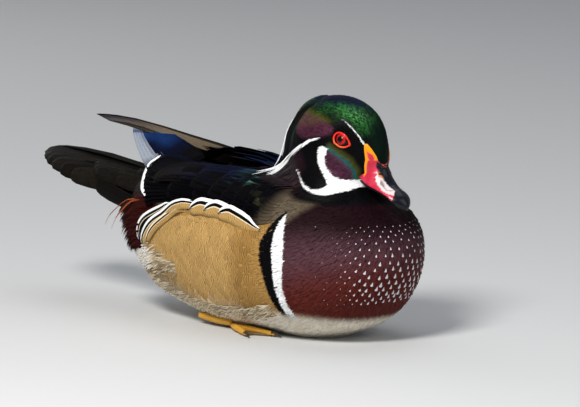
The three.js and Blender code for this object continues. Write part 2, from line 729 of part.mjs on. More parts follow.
function crestLocks() {
  return CREST_TIERS.flatMap(([from, to, count, spread, wide], tier) =>
    Array.from({ length: count }, (_, k) => {
      const share = count > 1 ? (2 * k) / (count - 1) - 1 : 0;
      const turn = degToRad(spread * share + vary(3));
      const end = to - 0.07 * share ** 2 + vary(0.03);
      const line = [];
      const up = [];
      const sizes = [];
      for (const [t, share] of VANE_RINGS) {
        const place = lerp(from, end, t);
        const lean = turn * (1 - 0.15 * t);
        const lift = -2.2 + 2.4 * Math.min(1, 3 * t) + 0.25 * tier;
        line.push(onCrest(place, lean, lift));
        up.push(onCrest(place, lean, lift + 1).sub(line.at(-1)).normalize());
        sizes.push([wide * share, LOCK_THICK * (1.15 - 0.7 * t)]);
      }
      return spindle(line, sizes, up);
    }),
  );
}

// Legs: the shank lies back along the belly and the webbed foot forward, flat on the floor.
const ANKLE = [-62, 33, 6];
const FOOT_ROOT = [-30, 34, 4.5];
const TOES = [
  [[-2, 20, 2.2], 3],
  [[14, 36, 2.2], 3.2],
  [[0, 50, 2.2], 3],
];
function shank(side) {
  const [ankle, foot] = [point(...ANKLE), point(...FOOT_ROOT)];
  const line = [];
  const sizes = [];
  for (let i = 0; i <= 7; i++) {
    const t = i / 7;
    line.push(sided(ankle.clone().lerp(foot, t), side));
    const knob = 1.6 * Math.max(0, 1 - t * 5) + 0.8 * Math.max(0, t * 5 - 4);
    sizes.push([3.3 + knob, 3.1 + knob * 0.6]);
  }
  return spindle(line, sizes, point(0, 0, 1), 8);
}
function toe(side, [tip, wide]) {
  const root = point(...FOOT_ROOT).add(point(0, 0, -1.6));
  const line = [];
  const sizes = [];
  for (let i = 0; i <= 6; i++) {
    const t = i / 6;
    line.push(sided(root.clone().lerp(point(...tip), t), side));
    const joint = 0.45 * (i % 2);
    sizes.push([wide * (1 - 0.35 * t) + joint, 2.4 * (1 - 0.25 * t)]);
  }
  return spindle(line, sizes, point(0, 0, 1), 6);
}
function web(side, [a], [b]) {
  const root = point(...FOOT_ROOT);
  const grid = (z) =>
    Array.from({ length: 4 }, (_, i) =>
      Array.from({ length: 4 }, (_, j) => {
        const [t, q] = [lerp(0.1, 0.93, i / 3), j / 3];
        const edge = t * (1 - 0.16 * Math.sin(Math.PI * q));
        const [from, to] = [root.clone().lerp(point(...a), edge), root.clone().lerp(point(...b), edge)];
        const place = from.lerp(to, q);
        return point(place.x, place.y * side, z);
      }),
    );
  return slab(grid(1.7), grid(-0.5));
}
function hindToe(side) {
  const line = [];
  const sizes = [];
  for (let i = 0; i <= 6; i++) {
    const t = i / 6;
    line.push(point(-33 - 13 * t, side * (31 - 5 * t), lerp(4, 1.8, t)));
    sizes.push([2.2 * (1 - 0.4 * t), 2 * (1 - 0.35 * t)]);
  }
  return spindle(line, sizes, point(0, 0, 1), 6);
}
function claw(side, [tip]) {
  const root = point(...FOOT_ROOT);
  const end = point(...tip);
  const ahead = end.clone().sub(root).setZ(0).normalize();
  const line = [];
  const sizes = [];
  for (let i = 0; i <= 4; i++) {
    const t = i / 4;
    const place = end.clone().addScaledVector(ahead, -3 + 9 * t);
    place.z = 2.4 + 0.9 * Math.sin(Math.PI * t) - 1.2 * t;
    line.push(sided(place, side));
    sizes.push([1.5 * (1 - 0.7 * t), 1.5 * (1 - 0.7 * t)]);
  }
  return spindle(line, sizes, point(0, 0, 1), 6);
}
function footPieces(side) {
  const [inner, middle, outer] = TOES;
  const webs = [web(side, inner, middle), web(side, middle, outer)];
  const toes = TOES.map((each) => toe(side, each));
  return [...toes, ...webs, ...TOES.map((each) => claw(side, each)), hindToe(side)];
}
// The hollow of the belly that each foot lies in: x, inner and outer distance from the middle.
const BED_ROWS = [
  [-51, 20, 37],
  [-32, 25, 43],
  [-6, 15, 54],
  [21, 20, 52],
];
const BED_HEIGHT = 6.6;
function footBed(side) {
  const grid = (z) =>
    BED_ROWS.map(([x, inner, outer]) =>
      Array.from({ length: 3 }, (_, j) => point(x, side * lerp(inner, outer, j / 2), z)),
    );
  return slab(grid(BED_HEIGHT), grid(-2));
}
const onFloor = (solid) => solid.trimByPlane([0, 0, 1], 0);

const SIDES = [1, -1];
const sideName = (side) => (side > 0 ? 'left' : 'right');
const both = (make) => SIDES.flatMap(make);
const roomFor = (pieces) => joined(pieces.map((piece) => piece.room ?? grown(piece)));

// The pieces, each cut clear of the rooms of those that come before it.
const bodyForm = body.solid(26, 2);
const headForms = [head.solid(24, 2), neckForm()];
const lobes = both(billLobe);
const eyeRoom = roomFor(both(eyeball));
const lowerRoom = grown(lowerBill());
const flankPieces = SIDES.map((side) => [flankPad(side), ...flankVanes(side)]);
const flankRoom = roomFor(flankPieces.flat());
const [leftPieces, rightPieces] = SIDES.map(wingPieces);
const leftWingRoom = roomFor(leftPieces);
const wingRoom = joined([leftWingRoom, roomFor(rightPieces)]);
const wingHollow = roomFor(both(wingPad));
const legRoom = joined([roomFor(both(shank)), ...both(footBed)]);
const plumes = both(rumpPlumes);
const trunkRoom = joined([grown(bodyForm), roomFor(plumes), wingRoom, flankRoom]);

const hollows = joined([roomFor(both(flankPad)), wingHollow, legRoom]);
const plain = onFloor(bodyForm).subtract(hollows);
const rear = plain.trimByPlane([-1, 0, 0], -BREAST_BACK + GAP / 2);
addNode('torso', joined([rear, ...plumes]).subtract(flankRoom), finish(0xcfc6b4, 0.7));
addNode('breast', plain.trimByPlane([1, 0, 0], BREAST_BACK + GAP / 2), finish(0x4a1216, 0.6));
const headAndNeck = joined(headForms);
addNode('neck', aboveNeckCut(headAndNeck, -1).subtract(trunkRoom), finish(0x2b0d12, 0.6));
const billRoom = joined([grown(upperBill()), lowerRoom, roomFor(lobes)]);
const face = joined([aboveNeckCut(headAndNeck, 1), ...both(lidRing)]);
addNode('head', face.subtract(joined([billRoom, eyeRoom])), finish(0x0d2a1e, 0.45));
const billCuts = joined([lowerRoom, ...both(nostril), eyeRoom]);
addNode('bill_upper', joined([upperBill(), ...lobes]).subtract(billCuts), finish(0xc4283a, 0.4));
addNode('bill_lower', lowerBill(), finish(0x18161a, 0.5));
const crest = joined([crestCore(), ...crestLocks()]).subtract(joined([roomFor(headForms), trunkRoom]));
addNode('crest', crest, finish(0x12303a, 0.4));
const tailPieces = [tailRoot(), ...both(tailFeathers), ...both(tailCoverts)];
addNode('tail', joined(tailPieces).subtract(trunkRoom), finish(0x1c1613, 0.5));
SIDES.forEach((side, i) => {
  const name = sideName(side);
  addNode('eye_' + name, eyeball(side), finish(0xb3121c, 0.1));
  addNode('flank_' + name, joined(flankPieces[i]), finish(0xb98f52, 0.65));
  const wing = joined(side > 0 ? leftPieces : rightPieces).subtract(flankRoom);
  addNode('wing_' + name, side > 0 ? wing : wing.subtract(leftWingRoom), finish(0x2b2a33, 0.5));
  const footForm = footPieces(side);
  addNode('leg_' + name, onFloor(shank(side)).subtract(roomFor(footForm)), finish(0xb8862c, 0.6));
  addNode('foot_' + name, onFloor(joined(footForm)), finish(0xb8862c, 0.6));
});

export default bird;
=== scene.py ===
# A wood duck drake at life size, as a still model that sits on its belly in its swimming pose. Lengths
# are in millimetres on the bird's own axes, +X forward, +Y to its left and +Z up, and MM makes them metres.
import math

import bpy
import numpy as np
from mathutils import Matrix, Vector
from mathutils.bvhtree import BVHTree


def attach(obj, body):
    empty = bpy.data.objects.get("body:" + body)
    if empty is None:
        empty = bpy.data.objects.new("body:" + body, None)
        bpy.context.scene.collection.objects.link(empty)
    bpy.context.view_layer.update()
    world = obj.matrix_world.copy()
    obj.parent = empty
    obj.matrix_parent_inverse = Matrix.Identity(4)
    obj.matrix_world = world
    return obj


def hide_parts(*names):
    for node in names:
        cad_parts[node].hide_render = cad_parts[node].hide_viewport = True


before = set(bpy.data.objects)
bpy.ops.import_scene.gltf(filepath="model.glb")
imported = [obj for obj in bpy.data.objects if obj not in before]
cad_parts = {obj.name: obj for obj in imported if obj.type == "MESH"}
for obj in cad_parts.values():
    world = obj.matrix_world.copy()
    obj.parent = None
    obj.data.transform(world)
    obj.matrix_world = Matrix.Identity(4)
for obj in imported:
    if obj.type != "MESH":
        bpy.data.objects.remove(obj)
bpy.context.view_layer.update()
MM = 0.001

# The place where it is shown: a wide pale matt floor, soft lamps from the side of the photograph's sun
# and a long lens just above the height of the bird's back.
VIEW_AZIMUTH, VIEW_ELEVATION, VIEW_DISTANCE, VIEW_SPAN = 45, 9, 5.0, 0.4
AIM_RIGHT, AIM_UP = -5.5, 86.1
SENSOR_WIDTH = 36
LAMP_AIM = Vector((0, 0, 0.08))
LAMPS = [
    ("sun_side", 20, 44, 1.6, 0.4, 30, (1.0, 0.97, 0.92)),
    ("front_fill", 100, 28, 1.8, 1.2, 6, (0.93, 0.96, 1.0)),
    ("sky", 200, 70, 1.8, 1.4, 7, (0.93, 0.96, 1.0)),
    ("back_fill", 260, 25, 2.0, 1.2, 7, (1.0, 0.98, 0.95)),
]


def outward(azimuth, elevation):
    """The way from the bird to a viewer or a lamp, by angles in degrees given as the views are."""
    turn, rise = math.radians(azimuth), math.radians(elevation)
    return Vector((math.sin(turn) * math.cos(rise), -math.cos(turn) * math.cos(rise), math.sin(rise)))


def stand(name, data, place, away):
    """Puts a camera or a lamp at a place, turned to look back along away."""
    made = bpy.data.objects.new(name, data)
    made.location = place
    made.rotation_mode = "QUATERNION"
    made.rotation_quaternion = (-away).to_track_quat("-Z", "Y")
    bpy.context.scene.collection.objects.link(made)
    return made


to_eye = outward(VIEW_AZIMUTH, VIEW_ELEVATION)
to_right = Vector((math.cos(math.radians(VIEW_AZIMUTH)), math.sin(math.radians(VIEW_AZIMUTH)), 0))
aim = MM * (AIM_RIGHT * to_right + AIM_UP * to_eye.cross(to_right))
lens = bpy.data.cameras.new("camera")
lens.sensor_width, lens.lens, lens.clip_end = SENSOR_WIDTH, SENSOR_WIDTH * VIEW_DISTANCE / VIEW_SPAN, 50
bpy.context.scene.camera = stand("camera", lens, aim + VIEW_DISTANCE * to_eye, to_eye)
bpy.context.scene.view_settings.view_transform = "Standard"
for name, azimuth, elevation, distance, size, watts, tint in LAMPS:
    lamp = bpy.data.lights.new(name, "AREA")
    lamp.size, lamp.energy, lamp.color = size, watts, tint
    away = outward(azimuth, elevation)
    stand(name, lamp, away * distance + LAMP_AIM, away)
world = bpy.data.worlds.new("studio")
world.use_nodes = True
sky = world.node_tree.nodes["Background"].inputs
sky["Color"].default_value, sky["Strength"].default_value = (0.86, 0.9, 0.96, 1), 0.24
bpy.context.scene.world = world


class Term:
    """A value that varies over a surface. Sums and products written on it become Math nodes."""

    def __init__(self, finish, socket):
        self.finish, self.socket = finish, socket

    def maths(self, operation, *terms):
        return self.finish.node("Math", {"operation": operation}, dict(enumerate(terms)))[0]

    def __add__(self, other):
        return self.maths("ADD", self, other)

    def __mul__(self, other):
        return self.maths("MULTIPLY", self, other)

    def __sub__(self, other):
        return self.maths("SUBTRACT", self, other)

    def __rsub__(self, other):
        return self.maths("SUBTRACT", other, self)

    __radd__, __rmul__ = __add__, __mul__

    def __abs__(self):
        return self.maths("ABSOLUTE", self)

    def wave(self):
        return self.maths("SINE", self)

    def above(self, start, width):
        """0 below start, rising evenly to 1 over width."""
        ends = {"Value": self, "From Min": start, "From Max": start + width}
        return self.finish.node("MapRange", {}, ends)[0]


class Finish:
    """A material whose nodes are added by type, settings and the values or terms of their sockets."""

    def __init__(self, name):
        self.material = bpy.data.materials.new(name)
        self.material.use_nodes = True
        self.tree = self.material.node_tree
        self.tree.nodes.clear()
        self.shader = self.tree.nodes.new("ShaderNodeBsdfPrincipled")
        end = self.tree.nodes.new("ShaderNodeOutputMaterial")
        self.tree.links.new(self.shader.outputs[0], end.inputs[0])

    def plug(self, socket, value):
        if isinstance(value, Term):
            self.tree.links.new(value.socket, socket)
        else:
            socket.default_value = value

    def node(self, kind, settings, values):
        """Adds a node and returns its outputs as terms."""
        made = self.tree.nodes.new("ShaderNode" + kind)
        for key, value in settings.items():
            setattr(made, key, value)
        for key, value in values.items():
            self.plug(made.inputs[key], value)
        return [Term(self, socket) for socket in made.outputs]

    def tinted(self, share, base, tint):
        """A colour multiplied by a tint to a share."""
        settings = {"data_type": "RGBA", "blend_type": "MULTIPLY"}
        return self.node("Mix", settings, {0: share, 6: base, 7: tint})[2]

    def bump(self, height, strength, depth):
        values = {"Height": height, "Strength": strength, "Distance": depth * MM}
        return self.node("Bump", {}, values)[0]

    def place(self):
        """The place on the object, in metres."""
        return self.node("TexCoord", {}, {})[3]

    def noise(self, scale, detail):
        return self.node("TexNoise", {}, {"Vector": self.place(), "Scale": scale, "Detail": detail})[0]

    def painted(self):
        """The colour kept at the places of the mesh, and as the last output its share of gloss."""
        return self.node("Attribute", {"attribute_name": "Plumage"}, {})

    def on_vane(self):
        """The distance along a feather from its root and across it from its shaft, in millimetres."""
        vane = self.node("UVMap", {"uv_map": "Vane"}, {})[0]
        return self.node("SeparateXYZ", {}, {0: vane})[:2]

    def set(self, **values):
        for key, value in values.items():
            self.plug(self.shader.inputs[key.replace("_", " ")], value)
        return self


def colour(red, green, blue, gloss=0.0):
    """A colour named as it looks on a screen, from 0 to 255, with its share of metal gloss."""
    seen = np.array([red, green, blue]) / 255
    return np.array([*np.where(seen < 0.04045, seen / 12.92, ((seen + 0.055) / 1.055) ** 2.4), gloss])


def mesh_object(name, places, faces, finish):
    """A smooth mesh of places in millimetres and faces of corner numbers, as one array or as a list."""
    mesh = bpy.data.meshes.new(name)
    if isinstance(faces, np.ndarray):
        count, corners = faces.shape
        mesh.vertices.add(len(places))
        mesh.vertices.foreach_set("co", (np.asarray(places) * MM).astype(np.float32).ravel())
        mesh.loops.add(count * corners)
        mesh.loops.foreach_set("vertex_index", faces.astype(np.int32).ravel())
        mesh.polygons.add(count)
        mesh.polygons.foreach_set("loop_start", np.arange(0, count * corners, corners, dtype=np.int32))
    else:
        mesh.from_pydata([tuple(place) for place in np.asarray(places) * MM], [], faces)
    mesh.update(calc_edges=True)
    mesh.validate()
    mesh.polygons.foreach_set("use_smooth", np.ones(len(mesh.polygons), bool))
    if finish:
        mesh.materials.append(finish.material)
    made = bpy.data.objects.new(name, mesh)
    bpy.context.scene.collection.objects.link(made)
    return made


FLOOR_SIZE = 30000
floor_finish = Finish("pale_floor")
floor_finish.set(Base_Color=(0.56, 0.57, 0.58, 1), Roughness=0.75)
corners = [(-1, -1, 0), (1, -1, 0), (1, 1, 0), (-1, 1, 0)]
floor = mesh_object("floor", np.array(corners) * FLOOR_SIZE, [(0, 1, 2, 3)], floor_finish)

# The skin: one closed surface over the body, the neck, the head, the root of the crest, the root of the
# tail and the folded wings. It is drawn over the same frames as the solids, melted together and set inside
# them by the depth of the plumage.
BODY_FRONT, BODY_LENGTH, BODY_HALF_WIDTH, BACK_HEIGHT = 104, 254, 60, 107.5
HEAD_FRONT, HEAD_LENGTH, HEAD_HALF_WIDTH, CROWN_HEIGHT, CHIN_HEIGHT = 84.5, 81, 23, 167, 97
BODY_FRAMES = [
    (0.0, 0.0, 0.614, 0.614, 0.614), (0.012, 0.25, 0.716, 0.493, 0.6), (0.028, 0.375, 0.772, 0.391, 0.595),
    (0.063, 0.575, 0.847, 0.251, 0.581), (0.118, 0.75, 0.921, 0.121, 0.567),
    (0.193, 0.883, 0.972, 0.037, 0.553), (0.291, 0.975, 1.0, -0.014, 0.54),
    (0.429, 1.0, 1.0, -0.014, 0.521), (0.587, 0.95, 0.986, -0.014, 0.53),
    (0.724, 0.833, 0.967, 0.037, 0.558), (0.835, 0.715, 0.94, 0.105, 0.545),
    (0.913, 0.59, 0.912, 0.235, 0.575), (0.969, 0.39, 0.865, 0.42, 0.65), (1.0, 0.0, 0.7, 0.7, 0.7),
]
HEAD_FRAMES = [
    (0.0, 0.0, 0.514, 0.514, 0.514), (0.018, 0.2, 0.657, 0.371, 0.486), (0.065, 0.36, 0.779, 0.243, 0.443),
    (0.155, 0.56, 0.886, 0.129, 0.4), (0.3, 0.8, 0.964, 0.043, 0.371), (0.479, 0.978, 1.0, 0.0, 0.343),
    (0.669, 1.0, 0.981, 0.0, 0.343), (0.834, 0.87, 0.895, 0.043, 0.386),
    (0.941, 0.609, 0.729, 0.129, 0.429), (1.0, 0.0, 0.443, 0.443, 0.443),
]
NECK_RINGS = [
    (90, 38, 42, 37), (97, 38, 41, 35), (103, 37, 38, 31), (110, 36, 35.5, 27.5), (118, 35, 33, 25.5),
    (126, 34, 30, 23), (134, 34, 24, 18),
]
CREST_RINGS = [
    (28, 161.5, 10, 6), (15.5, 153, 13.5, 9), (5.2, 138, 13.8, 8.8), (0, 123, 12.8, 7.7),
    (-6, 113.5, 11.8, 5.5), (-18, 109.5, 11.2, 3.4), (-33, 108.6, 10, 2.4), (-46, 107.6, 7.5, 1.4),
]
CREST_CORE_END = 0.52
TAIL_ROOT_RINGS = [
    (-125, 19, 95, 64), (-134, 17.5, 95, 66), (-142, 16.5, 95.5, 67), (-154, 13.5, 96, 72),
    (-166, 9.5, 96.5, 79), (-176, 5.5, 96.5, 87),
]


def row_at(rows, t):
    """Rows of numbers, blended smoothly at places t from 0 at the first row to 1 at the last."""
    rows = np.asarray(rows, float)
    place = np.clip(np.asarray(t, float), 0, 1) * (len(rows) - 1)
    start = np.minimum(place.astype(int), len(rows) - 2)
    f = (place - start)[..., None]
    a, b, c, d = (rows[np.clip(start + k, 0, len(rows) - 1)] for k in (-1, 0, 1, 2))
    return b + 0.5 * f * (c - a + f * (2 * a - 5 * b + 4 * c - d + f * (3 * b - a - 3 * c + d)))


def value_at(values, t):
    """One number from a row of them, blended as rows are."""
    return row_at(np.array(values)[:, None], t)[..., 0]


def columns_at(rows, t):
    """The columns of rows, blended at places t."""
    return np.moveaxis(row_at(rows, t), -1, 0)


def unit(vectors):
    return vectors / np.maximum(np.linalg.norm(vectors, axis=-1, keepdims=True), 1e-9)


def ease(value, low, high):
    """0 below low, 1 above high and a smooth rise between."""
    f = np.clip((value - low) / (high - low), 0, 1)
    return f * f * (3 - 2 * f)


def sided(places, side):
    return np.asarray(places, float) * (1, side, 1)


def on_side(name, side):
    return name + ("_left" if side > 0 else "_right")


class Hull:
    """A closed form along X, whose cross sections are rounded squares of the given power."""

    def __init__(self, frames, front, length, half_width, low, high, power):
        place, half, top, bottom, widest = np.array(frames).T
        heights = [low + (high - low) * share for share in (top, bottom, widest)]
        self.rows = np.array([front - length * place, half_width * half, *heights]).T
        self.power = power
        self.table = np.linspace(0, 1, 3001)
        self.table_x = row_at(self.rows, self.table)[:, 0]

    def place_of(self, x):
        return np.interp(-np.asarray(x, float), -self.table_x, self.table)

    def on_frame(self, t, girth):
        """The surface at place t. The girth angle is 0 on the back and positive on the left."""
        x, half, top, bottom, widest = columns_at(self.rows, t)
        up, out = np.cos(girth), np.sin(girth)
        rounded = [np.sign(v) * np.abs(v) ** (2 / self.power) for v in (out, up)]
        rise = np.where(up > 0, top - widest, widest - bottom)
        return np.stack([x + 0 * rounded[0], half * rounded[0], widest + rise * rounded[1]], -1)

    def at(self, x, girth, lift=0.0):
        """The place at x, lifted off the surface along its normal."""
        t = self.place_of(x)
        step = 0.004
        ahead = self.on_frame(np.maximum(t - step, 0), girth) - self.on_frame(np.minimum(t + step, 1), girth)
        around = self.on_frame(t, girth + step) - self.on_frame(t, girth - step)
        return self.on_frame(t, girth) + unit(np.cross(ahead, around)) * np.asarray(lift)[..., None]

    def girth_at(self, x, z):
        """The girth angle on the left side at x and height z."""
        _, _, top, bottom, widest = columns_at(self.rows, self.place_of(x))
        share = np.where(z > widest, (z - widest) / (top - widest), (z - widest) / (widest - bottom))
        return np.arccos(np.sign(share) * np.minimum(1, np.abs(share)) ** (self.power / 2))

    def girth_across(self, x, distance):
        """The girth angle on the back at x, at a distance from the middle."""
        half = row_at(self.rows, self.place_of(x))[..., 1]
        return np.arcsin(np.minimum(1, distance / half) ** (self.power / 2))


body = Hull(BODY_FRAMES, BODY_FRONT, BODY_LENGTH, BODY_HALF_WIDTH, 0, BACK_HEIGHT, 2.3)
head = Hull(HEAD_FRAMES, HEAD_FRONT, HEAD_LENGTH, HEAD_HALF_WIDTH, CHIN_HEIGHT, CROWN_HEIGHT, 2.1)


def closed_skin(rings):
    """Places and faces of a closed skin over rings of equal size, drawn together at both ends."""
    rings = np.asarray(rings, float)
    count, around = rings.shape[:2]
    places = np.concatenate([rings.reshape(-1, 3), rings[[0, -1]].mean(1)])
    last = (count - 1) * around
    pairs = [(k, (k + 1) % around) for k in range(around)]
    faces = [(r + k, r + n, r + around + n, r + around + k) for r in range(0, last, around) for k, n in pairs]
    for k, n in pairs:
        faces += [(k, count * around, n), (last + n, count * around + 1, last + k)]
    return places, faces


def slab(upper, lower):
    """Places and faces of a slab between two grids of the same size."""
    rows, columns = upper.shape[:2]
    under = rows * columns
    faces = []
    for a in (i * columns + j for i in range(rows - 1) for j in range(columns - 1)):
        b = a + columns
        faces += [(a, b, b + 1, a + 1), (under + a, under + a + 1, under + b + 1, under + b)]
    grid = np.arange(under).reshape(rows, columns)
    edges = (grid[0, :-1], grid[:-1, -1], grid[-1, :0:-1], grid[:0:-1, 0])
    rim = np.concatenate(edges).tolist()
    for corner, after in zip(rim, rim[1:] + rim[:1]):
        faces.append((corner, after, under + after, under + corner))
    return np.concatenate([upper.reshape(-1, 3), lower.reshape(-1, 3)]), faces


def on_crest(t, turn, lift=0.0, slim=1.0):
    """A place on the crest: t runs down its length, and the turn is 0 on its back."""
    t, turn = np.broadcast_arrays(np.asarray(t, float), turn)
    x, z, wide, thick = columns_at(CREST_RINGS, t)
    ahead_x, ahead_z = np.moveaxis(
        unit((row_at(CREST_RINGS, t + 0.02) - row_at(CREST_RINGS, t - 0.02))[..., :2]), -1, 0
    )
    out = (thick * slim + lift) * np.cos(turn)
    return np.stack([x - ahead_z * out, (wide * slim + lift) * np.sin(turn), z + ahead_x * out], -1)


WING_FRONT, WING_REAR, WING_HUMP = 31, -108, 7.0
WING_UPPER = (24, 16, 13, 12, 12, 13, 16, 20, 27)
WING_LOWER = (85, 80, 77, 76, 76, 76, 77, 80, 86)
WING_LIFT = (1.5, 2.4, 3, 3.6, 4.4, 5.4, 6.4, 6.6, 4.5)


def wing_share(x):
    return (WING_FRONT - np.asarray(x, float)) / (WING_FRONT - WING_REAR)


def wing_edges(x):
    """The girth angles of the wing's upper and lower edge at x."""
    upper, lower = (value_at(edge, wing_share(x)) for edge in (WING_UPPER, WING_LOWER))
    return body.girth_across(x, upper), body.girth_at(x, lower)


def blend(first, last, share):
    return first + (last - first) * share


def wing_girth(x, share):
    """The girth angle at x, at a share of the way from the wing's upper edge to its lower one."""
    return blend(*wing_edges(x), share)


def wing_form(x, share, side):
    """How far the wing's form stands off the body at x and a share of the way down it. The left wing is
    held a little higher over the back than the right one."""
    form = value_at(WING_LIFT, np.minimum(wing_share(x), 0.87))
    form = form * np.minimum(1, np.minimum(0.35 + 3.5 * share, 0.06 + 2.4 * (1 - share)))
    raised = ease(-12 - x, 0, 42) * ease(x + 102, 0, 22) * np.exp(-(((share - 0.2) / 0.24) ** 2))
    return form + (WING_HUMP * raised if side > 0 else 0)


def wing_pad(side):
    t, q = np.meshgrid(np.linspace(0, 1, 41), np.linspace(0, 1, 17), indexing="ij")
    x = blend(WING_FRONT, WING_REAR, t)
    girth = wing_girth(x, q)
    return slab(*(sided(body.at(x, girth, lift), side) for lift in (wing_form(x, q, side), 0 * q - 3)))


def joined(forms):
    """Places and faces of several forms as one."""
    bases = np.cumsum([0] + [len(places) for places, _ in forms])
    faces = [tuple(base + c for c in face) for base, (_, each) in zip(bases.tolist(), forms) for face in each]
    return np.concatenate([places for places, _ in forms]), faces


turns = np.linspace(0, 2 * np.pi, 97)[:-1]
hull_grid = np.meshgrid(np.linspace(0, 1, 133)[1:-1], turns, indexing="ij")
neck_z, neck_x, neck_long, neck_wide = row_at(NECK_RINGS, np.linspace(0, 1, 25)).T[:, :, None]
neck_rings = [neck_x + neck_long * np.cos(turns), neck_wide * np.sin(turns), neck_z + 0 * turns]
crest_places = np.linspace(0, CREST_CORE_END, 25)[:, None]
crest_slim = 0.9 - 0.35 * (crest_places / CREST_CORE_END) ** 3
tail_x, tail_half, tail_top, tail_bottom = row_at(TAIL_ROOT_RINGS, np.linspace(0, 1, 21)).T[:, :, None]
tail_middle, tail_tall = (tail_top + tail_bottom) / 2, (tail_top - tail_bottom) / 2
tail_rings = [tail_x + 0 * turns, tail_half * np.sin(turns), tail_middle + tail_tall * np.cos(turns)]
skin_forms = [
    closed_skin(body.on_frame(*hull_grid)),
    closed_skin(head.on_frame(*hull_grid)),
    closed_skin(np.stack(neck_rings, -1)),
    closed_skin(on_crest(crest_places, turns[None, ::2], 0, crest_slim)),
    closed_skin(np.stack(tail_rings, -1)),
    wing_pad(1),
    wing_pad(-1),
]
rough_skin = mesh_object("rough_skin", *joined(skin_forms), None)
SKIN_GRAIN = 1.25
remesh = rough_skin.modifiers.new("melt", "REMESH")
remesh.mode, remesh.voxel_size = "VOXEL", SKIN_GRAIN * MM
smooth = rough_skin.modifiers.new("smooth", "SMOOTH")
smooth.factor, smooth.iterations = 0.5, 10
melted = bpy.data.meshes.new_from_object(rough_skin.evaluated_get(bpy.context.evaluated_depsgraph_get()))
bpy.data.objects.remove(rough_skin)


def read(items, key, width, kind):
    """Values of a mesh as an array with a row for each item, or for each face of corners."""
    values = np.zeros(len(items) * (3 if kind is np.float32 else 1), kind)
    items.foreach_get(key, values)
    return values.reshape(-1, width)


skin_places = read(melted.vertices, "co", 3, np.float32).astype(float) / MM
skin_normals = read(melted.vertices, "normal", 3, np.float32).astype(float)
skin_faces = read(melted.loops, "vertex_index", 4, np.int32)
assert {len(face.vertices) for face in melted.polygons} == {4}

# The plumage is shallow on the face and deeper on the body, and the eyes sit in sockets.
EYE = np.array((57.5, 11.4, 139.0))
EYE_LOOK = unit(np.array((0.2, 1.0, 0.03)))
EYE_RADIUS = 7.2
SOCKET_RADIUS = 5.2


def to_segment(places, first, last):
    """Distance of each place to a straight line between two points, and the share along it."""
    along = np.asarray(last, float) - first
    share = np.clip(((places - first) @ along) / max(along @ along, 1e-9), 0, 1)
    return np.linalg.norm(places - first - share[:, None] * along, axis=1), share


def coat_depth(places):
    """How far the plumage stands over the skin, in millimetres."""
    above_neck = ease(places[:, 2] + 0.18 * places[:, 0], 100, 118) * ease(places[:, 0], -15, 5)
    depth = 1.7 - 0.85 * above_neck
    bill = np.linalg.norm((places - (78, 0, 124)) * (1, 0.9, 1), axis=1)
    return depth * (0.25 + 0.75 * ease(bill, 9, 20)) * ease(places[:, 2], -0.5, 3)


skin_places -= skin_normals * coat_depth(skin_places)[:, None]
for side in (1, -1):
    eye, look = sided(EYE, side), sided(EYE_LOOK, side)
    reach = skin_places - eye
    out = reach @ look
    aside = np.linalg.norm(reach - out[:, None] * look, axis=1)
    floor_of_socket = np.sqrt(np.maximum((EYE_RADIUS - 0.9) ** 2 - aside**2, 0))
    sunk = np.where((aside < SOCKET_RADIUS) & (out > 0), np.minimum(out, floor_of_socket), out)
    skin_places += (sunk - out)[:, None] * look
skin_places[:, 2] = np.maximum(skin_places[:, 2], 0.15)
corner_places = skin_places[skin_faces]
crossing = np.cross(corner_places[:, 2] - corner_places[:, 0], corner_places[:, 3] - corner_places[:, 1])
skin_normals = np.zeros_like(skin_places)
for corner in range(4):
    np.add.at(skin_normals, skin_faces[:, corner], crossing)
skin_normals = unit(skin_normals)
skin_tree = BVHTree.FromPolygons(skin_places.tolist(), skin_faces.tolist())

# The markings, which the skin and the plumage share: a dark glossy head with a white throat that sends a
# prong up the cheek and another up the neck, a maroon breast that ends in a white bar and a black one, an
# olive mantle, gold flanks and a cream belly. Lines and patches follow points on the bird's left side.
WHITE = colour(236, 238, 240)
INK = colour(7, 7, 9, 0.05)
GREEN_BLACK = colour(12, 26, 20, 0.5)
CROWN_BLUE = colour(12, 20, 46, 0.5)
GREEN_GLINT = colour(38, 93, 42, 0.5)
GOLD_GREEN = colour(96, 98, 36, 0.6)
TEAL = colour(22, 92, 92, 0.5)
MAGENTA = colour(84, 43, 62, 0.4)
CHEEK_PURPLE = colour(80, 44, 63, 0.4)
NAPE_PURPLE = colour(32, 15, 23, 0.25)
BROW_LINE = [(73.5, 11.1, 137.5), (70.5, 12, 142.2), (65.6, 13, 147), (59.7, 13.9, 151.3), (54, 14.5, 154)]
BROW_WIDTHS = [1.5, 0.95, 0.75, 0.55, 0.15]
CREST_LINE = [
    (40, 21.3, 138.9), (32.4, 21.7, 136.8), (25.5, 21.6, 132.6), (16.8, 19.7, 127.3), (9, 16, 122),
]
CREST_WIDTHS = [1.0, 2.1, 2.3, 2.4, 2.6]
